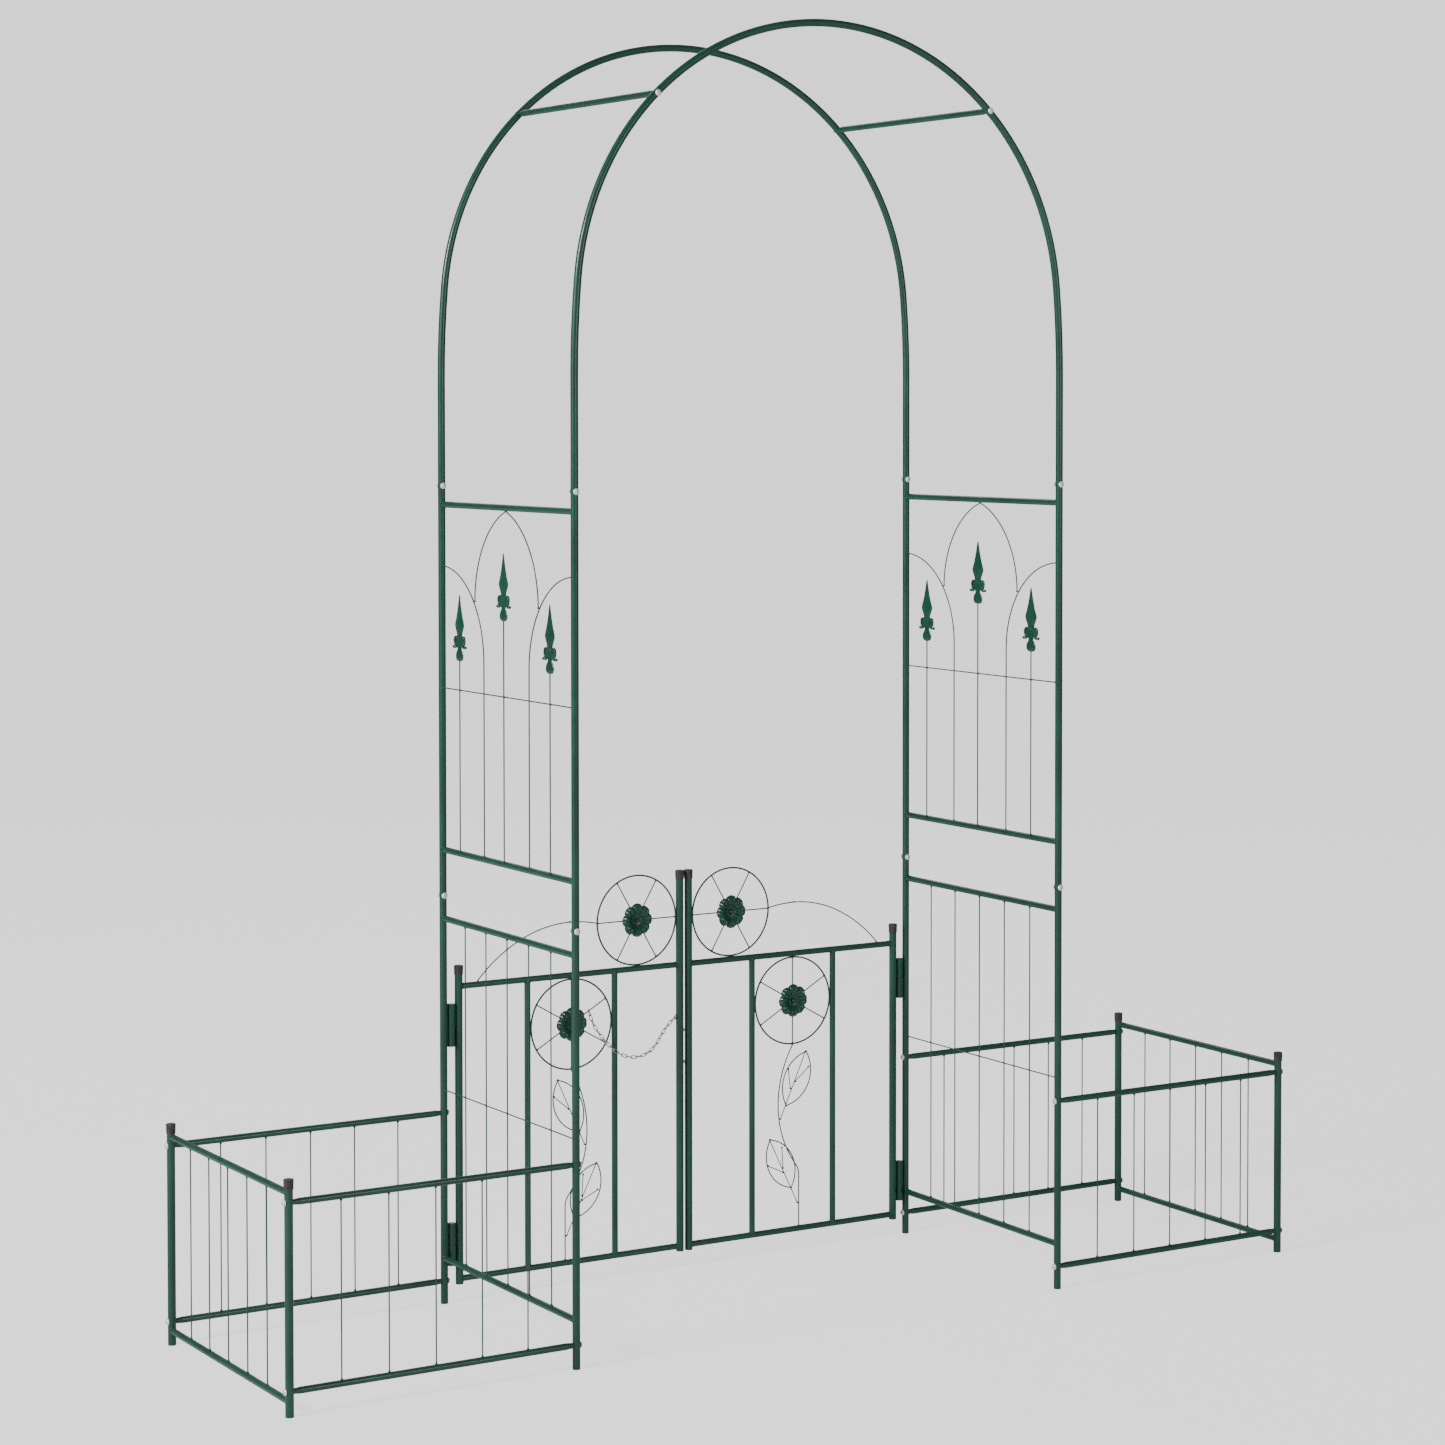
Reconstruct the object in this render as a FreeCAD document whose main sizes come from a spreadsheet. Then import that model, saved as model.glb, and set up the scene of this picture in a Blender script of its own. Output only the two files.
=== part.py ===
"""Garden arch of steel tube with a double gate and two planter frames.

+X runs across the opening from left to right, +Y from the front hoop to the rear hoop,
+Z up. The origin is on the ground, in the middle of the four legs. Lengths are in mm.
"""
import FreeCAD, Part
import math
import os
import re
import Sketcher

SIZES = {
    # The whole arch: its span and depth are between the axes of its legs.
    "arch_span": 1047, "arch_depth": 527, "arch_height": 2400,
    # Legs and hoops: tubes that plug into each other with a drawn-in end.
    "leg_outer": 14, "leg_wall": 1, "fit_gap": 0.1,
    "low_joint_lift": 1.5, "seam_drop": 20, "spigot_length": 45, "swage_length": 6,
    "shoulder_inset": 5.5, "shoulder_turn": 5, "crown_rise": 328, "crown_joint_angle": 43.7,
    # Rails, thin rods and wires.
    "rail_outer": 12, "rail_wall": 1, "rod_size": 2.5, "ring_wire": 3.5,
    "rail_tip": 8, "taper_length": 20,
    # Side panels: the lower one up from the ground and the low joint, and the upper one from the
    # low joint and down from the high joint. What is in the upper panel hangs from its top rail.
    "lower_bottom": 86.5, "lower_tie": 408, "lower_top_drop": 43,
    "upper_bottom_rise": 87, "upper_top_drop": 35, "upper_tie_drop": 344,
    "upright_margin": 93, "spear_margin": 84, "arch_spring_drop": 289, "gothic_spring_drop": 178,
    "gothic_gap": 0.45, "tall_spear_drop": 82, "short_spear_drop": 166,
    "spear_length": 124, "spear_thick": 5,
    # Planter frames.
    "planter_reach": 545, "post_outer": 15, "post_wall": 1, "planter_top": 403,
    "planter_low": 43, "planter_high": 363, "end_low": 26, "planter_margin": 95.5,
    # Plastic caps on the posts.
    "cap_length": 18, "cap_roof": 2, "cap_wall": 0.8, "cap_flare": 0.6, "cap_gap": 0.05,
    # Bolts, nuts and screws.
    "bolt_size": 6, "bolt_head": 12, "head_rise": 4.5, "nut_width": 10, "nut_rise": 3.5,
    "bolt_end": 1, "screw_size": 5, "screw_reach": 32, "hole_gap": 0.2, "thread_gap": 0.05,
    "drive_width": 1.2, "drive_depth": 2,
    # Gate leaves.
    "hinge_reach": 15.85, "barrel_outer": 15.5, "barrel_half": 40, "barrel_gap": 0.5, "pin_size": 6,
    "pin_gap": 0.05, "tab_thick": 3, "low_hinge": 110.5, "high_hinge": 527.5,
    "gate_floor": 33, "gate_low": 43, "gate_high": 600, "hinge_post_top": 640,
    "meeting_post_top": 786, "meeting_gap": 4.9,
    "wheel_outer": 178, "hub_clear": 10, "rosette_size": 66, "rosette_depth": 9, "petals": 8,
    "petal_size": 18.86, "rosette_rim": 4, "rosette_back": 2, "boss_size": 11, "boss_lift": 1.5,
    "vine_wire": 2.5, "vein_wire": 2, "scroll_margin": 40,
    # Latch chain and its staples.
    "link_wire": 1.8, "link_pitch": 10.8, "link_slack": 0.25, "link_width": 7.2,
    "hang_radius": 44, "chain_drop": 98, "staple_wire": 2, "staple_reach": 5.5, "eye_reach": 3.9,
    "staple_level": 497, "left_eye_level": 470, "right_eye_level": 407,
}

doc = FreeCAD.newDocument("garden_arch")
sheet = doc.addObject("Spreadsheet::Sheet", "Size")
for row, (alias, size) in enumerate(SIZES.items(), start=1):
    sheet.set(f"A{row}", alias)
    sheet.set(f"B{row}", str(size))
    sheet.setAlias(f"B{row}", alias)
doc.recompute()

TURN = {
    "Z": FreeCAD.Rotation(),
    "X": FreeCAD.Rotation(FreeCAD.Vector(0, 1, 0), 90),
    "Y": FreeCAD.Rotation(FreeCAD.Vector(1, 0, 0), -90),
}
SIDES = {"left": "-1", "right": "1"}
ENDS = {"front": "-1", "rear": "1"}

# Sizes that follow from others.
LEG_X = "arch_span / 2"
LEG_Y = "arch_depth / 2"
LEG_R = "leg_outer / 2"
RAIL_R = "rail_outer / 2"
ROD_R = "rod_size / 2"
POST_R = "post_outer / 2"
POST_X = f"({LEG_X} + planter_reach)"
SPIGOT_R = f"({LEG_R} - leg_wall - fit_gap)"
CROWN_R = f"({LEG_X} - shoulder_inset)"
CROWN_Z = f"(arch_height - {LEG_R} - {CROWN_R})"
HIGH_JOINT = f"({CROWN_Z} - crown_rise)"
LOW_JOINT = f"({HIGH_JOINT} / 2 + low_joint_lift)"
LOW_SEAM = f"({LOW_JOINT} - seam_drop)"
HIGH_SEAM = f"({HIGH_JOINT} - seam_drop)"
SHOULDER_R = f"(({LEG_X} - {CROWN_R} * cos(shoulder_turn)) / (1 - cos(shoulder_turn)))"
SHOULDER_Z = f"({CROWN_Z} - ({SHOULDER_R} - {CROWN_R}) * sin(shoulder_turn))"
JOINT_RISE = "(90 - crown_joint_angle)"
SEAM_RISE = f"({JOINT_RISE} - seam_drop / {CROWN_R} * 180 / pi)"
LOWER_TOP = f"({LOW_JOINT} - lower_top_drop)"
UPPER_BOTTOM = f"({LOW_JOINT} + upper_bottom_rise)"
UPPER_TOP = f"({HIGH_JOINT} - upper_top_drop)"
UPPER_TIE = f"({UPPER_TOP} - upper_tie_drop)"
HINGE_X = f"({LEG_X} - hinge_reach)"
HINGE_POST_X = f"({LEG_X} - 2 * hinge_reach)"
MEETING_X = f"(meeting_gap / 2 + {POST_R})"
LEAF_X = f"(({HINGE_POST_X} + {MEETING_X}) / 2)"
WHEEL_R = "wheel_outer / 2"
HIGH_WHEEL = (f"({MEETING_X} + {POST_R} + {WHEEL_R})", f"(gate_high + {RAIL_R} + {WHEEL_R})")
LOW_WHEEL = (LEAF_X, f"(gate_high - {RAIL_R} - {WHEEL_R})")
RING_INNER = f"({WHEEL_R} - ring_wire)"

# A wire that bends by fewer degrees than this between two points is straight there.
STRAIGHT_BEND = 0.05


def formula(text):
    """Points each size in a formula at its cell."""
    return re.sub(r"[a-z]\w*", lambda w: "Size." + w.group() if w.group() in SIZES else w.group(),
                  str(text))


def value(text):
    return float(sheet.evalExpression(formula(text)))


def place(piece, x="0", y="0", z="0", turn=TURN["Z"]):
    piece.Placement = FreeCAD.Placement(FreeCAD.Vector(), turn)
    for axis, text in zip("xyz", (x, y, z)):
        piece.setExpression(f".Placement.Base.{axis}", formula(text))
    return piece


def primitive(kind, name, **sizes):
    """A Part primitive whose sizes are bound to the sheet."""
    piece = doc.addObject(f"Part::{kind}", name)
    for size, text in sizes.items():
        piece.setExpression(size, formula(text))
    return piece


def bar(name, radius, length, x="0", y="0", z="0", along="Z"):
    """A round bar whose lower end is centred on (x, y, z)."""
    return place(primitive("Cylinder", name, Radius=radius, Height=length), x, y, z, TURN[along])


def ring_arc(name, radius, tube, start, turn, x="0", z="0"):
    """Part of a ring in the XZ plane, from the angle start above +X through the angle turn."""
    piece = primitive("Torus", name, Radius1=radius, Radius2=tube, Angle3=turn)
    upright = FreeCAD.Rotation(FreeCAD.Vector(1, 0, 0), 90)
    place(piece, x, "0", z, upright.multiply(FreeCAD.Rotation(FreeCAD.Vector(0, 0, 1), value(start))))
    return piece


def fuse(name, pieces):
    piece = doc.addObject("Part::MultiFuse", name)
    piece.Shapes = pieces
    return piece


def cut(name, base, tools):
    piece = doc.addObject("Part::Cut", name)
    piece.Base = base
    piece.Tool = tools[0] if len(tools) == 1 else fuse(name + "_tools", tools)
    return piece


def copy(source, x="0", y="0", z="0", turn=TURN["Z"]):
    link = doc.addObject("App::Link", source.Name + "_copy")
    link.LinkedObject = source
    return place(link, x, y, z, turn)


def bound_sketch(body, name, plane, points):
    """A closed outline on one of the body's planes, each corner bound to the sheet."""
    sketch = body.newObject("Sketcher::SketchObject", name)
    support = next(f for f in body.Origin.OriginFeatures if f.Role == plane)
    sketch.AttachmentSupport = [(support, "")]
    sketch.MapMode = "FlatFace"
    corners = [FreeCAD.Vector(value(across), value(up)) for across, up in points]
    for start, end in zip(corners, corners[1:] + corners[:1]):
        sketch.addGeometry(Part.LineSegment(start, end))
    for line in range(len(points)):
        sketch.addConstraint(Sketcher.Constraint("Coincident", line, 2, (line + 1) % len(points), 1))
    for line, (corner, texts) in enumerate(zip(corners, points)):
        for kind, size, text in zip(("DistanceX", "DistanceY"), corner, texts):
            index = sketch.addConstraint(Sketcher.Constraint(kind, -1, 1, line, 1, size))
            sketch.setExpression(f"Constraints[{index}]", formula(text))
    return sketch


def turned(name, outline):
    """A body turned about its own Z axis, from an outline of (radius, height) corners."""
    body = doc.addObject("PartDesign::Body", name)
    turn = body.newObject("PartDesign::Revolution", name + "_turn")
    turn.Profile = bound_sketch(body, name + "_outline", "XZ_Plane", outline)
    turn.ReferenceAxis = (turn.Profile[0], ["V_Axis"])
    turn.Angle = 360
    return body


def plate(name, outline, thick):
    """A flat body across the X axis, from an outline of (Y, Z) corners."""
    body = doc.addObject("PartDesign::Body", name)
    pad = body.newObject("PartDesign::Pad", name + "_pad")
    pad.Profile = bound_sketch(body, name + "_outline", "YZ_Plane", outline)
    pad.setExpression("Length", formula(thick))
    pad.Midplane = True
    return body


def coped_bar(name, radius, length, end_radius, wall=None, aside="0", trim="0"):
    """A bar along X between two round members along Z a length apart, its ends shaped to them.

    With a wall it is a tube. A distance aside moves it off the members' axes along Y, and a
    trim stops it that far short of each axis.
    """
    base = bar(name + "_bar", radius, f"({length}) - 2 * ({trim})", f"({trim}) - ({length}) / 2", aside,
               along="X")
    tools = []
    for end in ("-1", "1"):
        tools.append(bar(f"{name}_end", end_radius, f"4 * ({end_radius})", f"{end} * ({length}) / 2",
                         z=f"-2 * ({end_radius})"))
    if wall:
        tools.append(bar(name + "_bore", f"({radius}) - ({wall})", length, f"-({length}) / 2", aside,
                         along="X"))
    return cut(name, base, tools)


def tangent_arcs(points, heading):
    """Edges in the XZ plane through the points, each arc leaving as the one before arrived.

    The heading is in degrees above +X.
    """
    edges = []
    for (x0, z0), (x1, z1) in zip(points, points[1:]):
        start, end = FreeCAD.Vector(x0, 0, z0), FreeCAD.Vector(x1, 0, z1)
        chord = math.degrees(math.atan2(z1 - z0, x1 - x0))
        bend = (chord - heading + 180) % 360 - 180
        if abs(bend) < STRAIGHT_BEND:
            edges.append(Part.makeLine(start, end))
        else:
            span = (end - start).Length
            sag = span / 2 * math.tan(math.radians(bend) / 2)
            aside = FreeCAD.Vector(z1 - z0, 0, x0 - x1) / span
            edges.append(Part.Arc(start, (start + end) / 2 + aside * sag, end).toShape())
        heading = chord + bend
    return edges


def bent_wire(name, edges, size, shift_y=0.0):
    """A round wire that follows joined edges. Its size is read from the sheet."""
    path = Part.Wire(edges)
    first = path.OrderedEdges[0]
    start = first.valueAt(first.FirstParameter)
    outward = first.tangentAt(first.FirstParameter)
    section = Part.Wire([Part.makeCircle(value(size) / 2, start, outward)])
    piece = doc.addObject("Part::Feature", name)
    piece.Shape = path.makePipeShell([section], True, False, 1)
    piece.Placement = FreeCAD.Placement(FreeCAD.Vector(0, shift_y, 0), FreeCAD.Rotation())
    return piece


NODES = {}


def node(name, pieces, x="0", y="0", z="0"):
    """One named sub-part, as a group of its separate solids."""
    group = doc.addObject("Part::Compound", name)
    group.Links = pieces
    group.Label = name
    NODES[name] = place(group, x, y, z)


def mirrored_node(name, source):
    """The left-hand copy of a right-hand sub-part."""
    piece = doc.addObject("Part::Mirroring", name)
    piece.Source = NODES[source]
    piece.Normal = FreeCAD.Vector(1, 0, 0)
    piece.Label = name
    NODES[name] = piece


# Legs ------------------------------------------------------------------------------------------

def leg_tube(name, bottom, seam):
    """A tube with a drawn-in top end that plugs into the tube above it."""
    bore, spigot_bore = f"{LEG_R} - leg_wall", f"{SPIGOT_R} - leg_wall"
    return turned(name, [
        (bore, bottom), (LEG_R, bottom), (LEG_R, seam), (SPIGOT_R, seam),
        (SPIGOT_R, f"{seam} + spigot_length"), (spigot_bore, f"{seam} + spigot_length"),
        (spigot_bore, seam), (bore, f"{seam} - swage_length")])


def cross_hole(name, size, level, along, x="0"):
    """The drill for a bolt hole through both walls of an upright tube."""
    reach = f"-{LEG_R} - {size}"
    start = (reach, "0") if along == "X" else (x, reach)
    return bar(name, f"{size} / 2 + hole_gap", f"leg_outer + 2 * {size}", *start, level, along)


lower_leg = cut("lower_leg", leg_tube("lower_leg_tube", "0", LOW_SEAM), [
    cross_hole("low_joint_hole", "bolt_size", LOW_JOINT, "Y"),
    cross_hole("low_planter_hole", "screw_size", "planter_low", "X"),
    cross_hole("high_planter_hole", "screw_size", "planter_high", "X")])
upper_leg = cut("upper_leg", leg_tube("upper_leg_tube", LOW_SEAM, HIGH_SEAM), [
    cross_hole("upper_leg_low_hole", "bolt_size", LOW_JOINT, "Y"),
    cross_hole("upper_leg_high_hole", "bolt_size", HIGH_JOINT, "Y")])
for side, left_right in SIDES.items():
    for end, front_rear in ENDS.items():
        x, y = f"{left_right} * {LEG_X}", f"{front_rear} * {LEG_Y}"
        node(f"lower_leg_{side}_{end}", [copy(lower_leg)], x, y)
        node(f"upper_leg_{side}_{end}", [copy(upper_leg)], x, y)


# Hoops -----------------------------------------------------------------------------------------

JOINT_X = f"{CROWN_R} * cos({JOINT_RISE})"
JOINT_Z = f"({CROWN_Z} + {CROWN_R} * sin({JOINT_RISE}))"


def shoulder_run(name, radius, first_level, last_rise):
    """The solid run of a shoulder: straight, then the wide bend, then part of the crown's arc."""
    return [
        bar(name + "_straight", radius, f"{SHOULDER_Z} - {first_level}", LEG_X, "0", first_level),
        ring_arc(name + "_bend", SHOULDER_R, radius, "0", "shoulder_turn",
                 f"{LEG_X} - {SHOULDER_R}", SHOULDER_Z),
        ring_arc(name + "_arc", CROWN_R, radius, "shoulder_turn", f"{last_rise} - shoulder_turn",
                 "0", CROWN_Z)]


spigot_turn = f"spigot_length / {CROWN_R} * 180 / pi"
swage_turn = f"swage_length / {CROWN_R} * 180 / pi"
spigot = ring_arc("shoulder_spigot", CROWN_R, SPIGOT_R, SEAM_RISE, spigot_turn, "0", CROWN_Z)
spigot_bore = ring_arc("shoulder_spigot_bore", CROWN_R, f"{SPIGOT_R} - leg_wall",
                       f"{SEAM_RISE} - {swage_turn}", f"{spigot_turn} + 2 * {swage_turn}", "0", CROWN_Z)
hoop_holes = [
    cross_hole("shoulder_hole", "bolt_size", HIGH_JOINT, "Y", LEG_X),
    cross_hole("crown_joint_hole", "screw_size", JOINT_Z, "Y", JOINT_X)]
shoulder = cut(
    "shoulder", fuse("shoulder_outside", shoulder_run("outside", LEG_R, HIGH_SEAM, SEAM_RISE) + [spigot]),
    shoulder_run("inside", f"{LEG_R} - leg_wall", HIGH_SEAM, f"({SEAM_RISE} - {swage_turn})")
    + [spigot_bore] + hoop_holes)
left_shoulder = doc.addObject("Part::Mirroring", "left_shoulder")
left_shoulder.Source = shoulder
left_shoulder.Normal = FreeCAD.Vector(1, 0, 0)

crown_turn = f"2 * (90 - {SEAM_RISE})"
crown = cut("crown", ring_arc("crown_outside", CROWN_R, LEG_R, SEAM_RISE, crown_turn, "0", CROWN_Z), [
    ring_arc("crown_inside", CROWN_R, f"{LEG_R} - leg_wall", SEAM_RISE, crown_turn, "0", CROWN_Z),
    cross_hole("crown_right_hole", "screw_size", JOINT_Z, "Y", JOINT_X),
    cross_hole("crown_left_hole", "screw_size", JOINT_Z, "Y", f"-{JOINT_X}")])
for end, front_rear in ENDS.items():
    node(f"{end}_shoulders", [shoulder, left_shoulder], y=f"{front_rear} * {LEG_Y}")
    node(f"{end}_crown", [crown], y=f"{front_rear} * {LEG_Y}")


# Rails with pinched, threaded ends -------------------------------------------------------------

def pinched_rail(name, length):
    """A tube along its own Z axis that narrows at both ends to a plug with a threaded hole."""
    thread, tip, bore = "screw_size / 2 + thread_gap", "rail_tip / 2", f"{RAIL_R} - rail_wall"
    half, neck = f"({length}) / 2", f"(({length}) / 2 - taper_length)"
    return turned(name, [
        (thread, f"-{half}"), (tip, f"-{half}"), (RAIL_R, f"-{neck}"), (RAIL_R, neck), (tip, half),
        (thread, half), (thread, neck), (bore, neck), (bore, f"-{neck}"), (thread, f"-{neck}")])


def end_tool(name, radius, level):
    """The outside of the upright or hoop that a rail's end is shaped to."""
    return bar(name, radius, f"4 * {radius}", f"-2 * {radius}", "0", level, "X")


crossbar = cut("crossbar", pinched_rail("crossbar_blank", "arch_depth"), [
    end_tool("crossbar_front", f"({LEG_R} + fit_gap / 2)", "-arch_depth / 2"),
    end_tool("crossbar_rear", f"({LEG_R} + fit_gap / 2)", "arch_depth / 2")])
crossbar_lean = value("crown_joint_angle")
node("crossbars", [
    copy(crossbar, f"{side} * {JOINT_X}", "0", JOINT_Z,
         FreeCAD.Rotation(FreeCAD.Vector(0, int(side), 0), crossbar_lean).multiply(TURN["Y"]))
    for side in SIDES.values()])

side_rail_blank = pinched_rail("side_rail_blank", "planter_reach")
side_rail = cut("side_rail", side_rail_blank, [
    end_tool("side_rail_leg", LEG_R, "-planter_reach / 2"),
    end_tool("side_rail_post", POST_R, "planter_reach / 2")])
away = {"right": TURN["X"], "left": TURN["X"].multiply(FreeCAD.Rotation(FreeCAD.Vector(1, 0, 0), 180))}


# Side panels -----------------------------------------------------------------------------------

panel_rail = coped_bar("panel_rail", RAIL_R, "arch_depth", LEG_R, "rail_wall", trim=f"{LEG_R} / 2")
tie_rod = coped_bar("tie_rod", ROD_R, "arch_depth", LEG_R, aside="rod_size")
across = FreeCAD.Rotation(FreeCAD.Vector(0, 0, 1), 90)
rails = ("lower_bottom", LOWER_TOP, UPPER_BOTTOM, UPPER_TOP)
ties = ("lower_tie", UPPER_TIE)
node("tie_rods", [copy(tie_rod, f"{side} * {LEG_X}", "0", level, across)
                  for side in SIDES.values() for level in ties])

upright_pitch = "(arch_depth - 2 * upright_margin) / 4"
lower_upright = bar("lower_upright", ROD_R, f"{LOWER_TOP} - lower_bottom - rail_outer")
node("lower_uprights", [
    copy(lower_upright, f"{side} * {LEG_X}", f"{step} * {upright_pitch}", f"lower_bottom + {RAIL_R}")
    for side in SIDES.values() for step in range(-2, 3)])

SPEAR_Y = f"({LEG_Y} - spear_margin)"
SPEAR_X = "-2 * rod_size"
SPEAR_FOOT = f"({UPPER_BOTTOM} + sqrt(({RAIL_R})^2 - (2 * rod_size - {ROD_R})^2))"
TALL_SPEAR = f"({UPPER_TOP} - tall_spear_drop)"
SHORT_SPEAR = f"({UPPER_TOP} - short_spear_drop)"


def spearhead(name):
    """A flat spear point with two scrolls and a bell, its tip at the origin."""
    half = [(0, 0), (17.8, -58), (12.6, -76), (21, -78), (22.5, -88), (21, -94), (27.5, -94), (24, -98),
            (13, -96), (6, -100), (13.6, -115), (9, -119), (4, -124)]
    sides = half + [(-across, up) for across, up in reversed(half[1:])]
    scale = f"spear_length / {-half[-1][1]}"
    return plate(name, [(f"{across} * {scale}", f"{up} * {scale}") for across, up in sides],
                 "spear_thick")


spear_point = spearhead("spear_point")
spear_spots = [("0", TALL_SPEAR), (SPEAR_Y, SHORT_SPEAR), (f"-{SPEAR_Y}", SHORT_SPEAR)]
spear_rods = [bar(f"spear_rod_{number}", ROD_R, f"{top} - spear_length - {SPEAR_FOOT}", SPEAR_X, y,
                  SPEAR_FOOT) for number, (y, top) in enumerate(spear_spots)]
spear_points = [copy(spear_point, SPEAR_X, y, top) for y, top in spear_spots]


def panel_arch_edges():
    """Half of the wire tracery, in the XZ plane: a side arch on its upright, and a gothic arch."""
    foot, half = value(f"{UPPER_BOTTOM} + {RAIL_R}"), value(LEG_Y)
    spring = value(f"{UPPER_TOP} - arch_spring_drop")
    start, rod = value(f"{SPEAR_Y} / 2"), value("rod_size")
    radius = half - start
    last = math.acos(value(f"{LEG_R} + rod_size / 40") / radius)
    side = [
        Part.makeLine(FreeCAD.Vector(start, 0, foot), FreeCAD.Vector(start, 0, spring)),
        Part.Arc(*[FreeCAD.Vector(half - radius * math.cos(turn), 0, spring + radius * math.sin(turn))
                   for turn in (0, last / 2, last)]).toShape()]
    low = value(f"{UPPER_TOP} - gothic_spring_drop")
    passing = math.asin((low - spring) / radius)
    base = half - radius * math.cos(passing) - (rod + value("gothic_gap")) / math.cos(passing)
    high = value(f"{UPPER_TOP} - {RAIL_R} - rod_size / 3") - low
    bend = (base ** 2 + high ** 2) / (2 * base)
    first = math.asin(rod / bend)
    final = math.acos((bend - base + rod / 2) / bend)
    gothic = [Part.Arc(*[
        FreeCAD.Vector(base - bend + bend * math.cos(turn), 0, low + bend * math.sin(turn))
        for turn in (first, (first + final) / 2, final)]).toShape()]
    return side, gothic


side_edges, gothic_edges = panel_arch_edges()
side_arch = bent_wire("side_arch", side_edges, "rod_size")
gothic_arch = bent_wire("gothic_arch", gothic_edges, "rod_size")
back_across = FreeCAD.Rotation(FreeCAD.Vector(0, 0, 1), -90)
arch_wires = [copy(wire, turn=turn) for wire in (side_arch, gothic_arch) for turn in (across, back_across)]

for side, left_right in SIDES.items():
    x = f"{left_right} * {LEG_X}"
    node(f"{side}_panel_rails", [copy(panel_rail, x, "0", level, across) for level in rails])
    node(f"{side}_spear_rods", spear_rods, x)
    node(f"{side}_spearheads", spear_points, x)
    node(f"{side}_panel_arches", arch_wires, x)


# Planter frames --------------------------------------------------------------------------------

def post_tube(name, bottom, top):
    wall = f"{POST_R} - post_wall"
    return turned(name, [(wall, bottom), (POST_R, bottom), (POST_R, top), (wall, top)])


POST_TOP_DROP = "cap_roof + cap_gap"
END_HIGH = f"(planter_top - cap_length - {RAIL_R})"
planter_post = cut("planter_post", post_tube("planter_post_tube", "0", f"planter_top - ({POST_TOP_DROP})"),
                   [cross_hole("low_post_hole", "screw_size", "planter_low", "X"),
                    cross_hole("high_post_hole", "screw_size", "planter_high", "X")])
end_rail = coped_bar("end_rail", RAIL_R, "arch_depth", POST_R, "rail_wall")
side_upright = bar("side_upright", ROD_R, "planter_high - planter_low - rail_outer")
end_upright = bar("end_upright", ROD_R, f"{END_HIGH} - end_low - rail_outer")
side_pitch = "(planter_reach - 2 * planter_margin) / 4"
cap = turned("cap", [
    (f"{POST_R} + cap_gap", "-cap_length"), (f"{POST_R} + cap_gap + cap_wall", "-cap_length"),
    (f"{POST_R} + cap_gap + cap_wall + cap_flare", "-cap_roof"),
    (f"{POST_R} + cap_gap + cap_wall + cap_flare", "-cap_roof / 2"), (f"{POST_R}", "0"), ("0", "0"),
    ("0", "-cap_roof"), (f"{POST_R} + cap_gap", "-cap_roof")])

for side, left_right in SIDES.items():
    post_x = f"{left_right} * {POST_X}"
    middle_x = f"{left_right} * ({LEG_X} + planter_reach / 2)"
    node(f"{side}_planter_posts", [copy(planter_post, y=f"{end} * {LEG_Y}") for end in ENDS.values()],
         post_x)
    node(f"{side}_planter_side_rails", [
        copy(side_rail, "0", f"{end} * {LEG_Y}", level, away[side])
        for end in ENDS.values() for level in ("planter_low", "planter_high")], middle_x)
    node(f"{side}_planter_end_rails", [
        copy(end_rail, "0", "0", level, across) for level in ("end_low", END_HIGH)], post_x)
    node(f"{side}_planter_uprights", [
        copy(side_upright, f"{middle_x} + {step} * {side_pitch}", f"{end} * {LEG_Y}",
             f"planter_low + {RAIL_R}") for end in ENDS.values() for step in range(-2, 3)]
        + [copy(end_upright, post_x, f"{step} * {upright_pitch}", f"end_low + {RAIL_R}")
           for step in range(-2, 3)])
node("planter_caps", [copy(cap, f"{side} * {POST_X}", f"{end} * {LEG_Y}", "planter_top")
                      for side in SIDES.values() for end in ENDS.values()])


# Bolts, nuts and screws ------------------------------------------------------------------------

def round_head_screw(name, size, length):
    """A screw along +Z with a domed head below the origin and a cross drive in it."""
    dome = "((bolt_head / 2)^2 + head_rise^2) / (2 * head_rise)"
    head = primitive("Sphere", name + "_head", Radius=dome, Angle1=f"asin(({dome} - head_rise) / ({dome}))")
    place(head, z=f"{dome} - head_rise", turn=FreeCAD.Rotation(FreeCAD.Vector(1, 0, 0), 180))
    drive = []
    for long, wide in (("bolt_head / 2", "drive_width"), ("drive_width", "bolt_head / 2")):
        slot = primitive("Box", name + "_slot", Length=long, Width=wide, Height="drive_depth")
        drive.append(place(slot, f"-{long} / 2", f"-{wide} / 2", "-head_rise"))
    return cut(name, fuse(name + "_blank", [head, bar(name + "_shank", f"{size} / 2", length)]), drive)


leg_bolt = round_head_screw("leg_bolt", "bolt_size", "leg_outer + nut_rise + bolt_end")
nut_blank = primitive("Prism", "nut_blank", Circumradius="nut_width / sqrt(3)", Height="nut_rise")
nut_blank.Polygon = 6
nut = cut("nut", nut_blank, [bar("nut_hole", "bolt_size / 2 + thread_gap", "3 * nut_rise", z="-nut_rise")])
frame_screw = round_head_screw("frame_screw", "screw_size", "screw_reach")

leg_spots = [(f"{side} * {LEG_X}", end, level) for side in SIDES.values() for end in ENDS.values()
             for level in (LOW_JOINT, HIGH_JOINT)]
node("leg_bolts", [copy(leg_bolt, x, f"{end} * {LEG_Y} - {LEG_R}", level, TURN["Y"])
                   for x, end, level in leg_spots])
node("leg_nuts", [copy(nut, x, f"{end} * {LEG_Y} + {LEG_R}", level, TURN["Y"])
                  for x, end, level in leg_spots])

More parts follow.
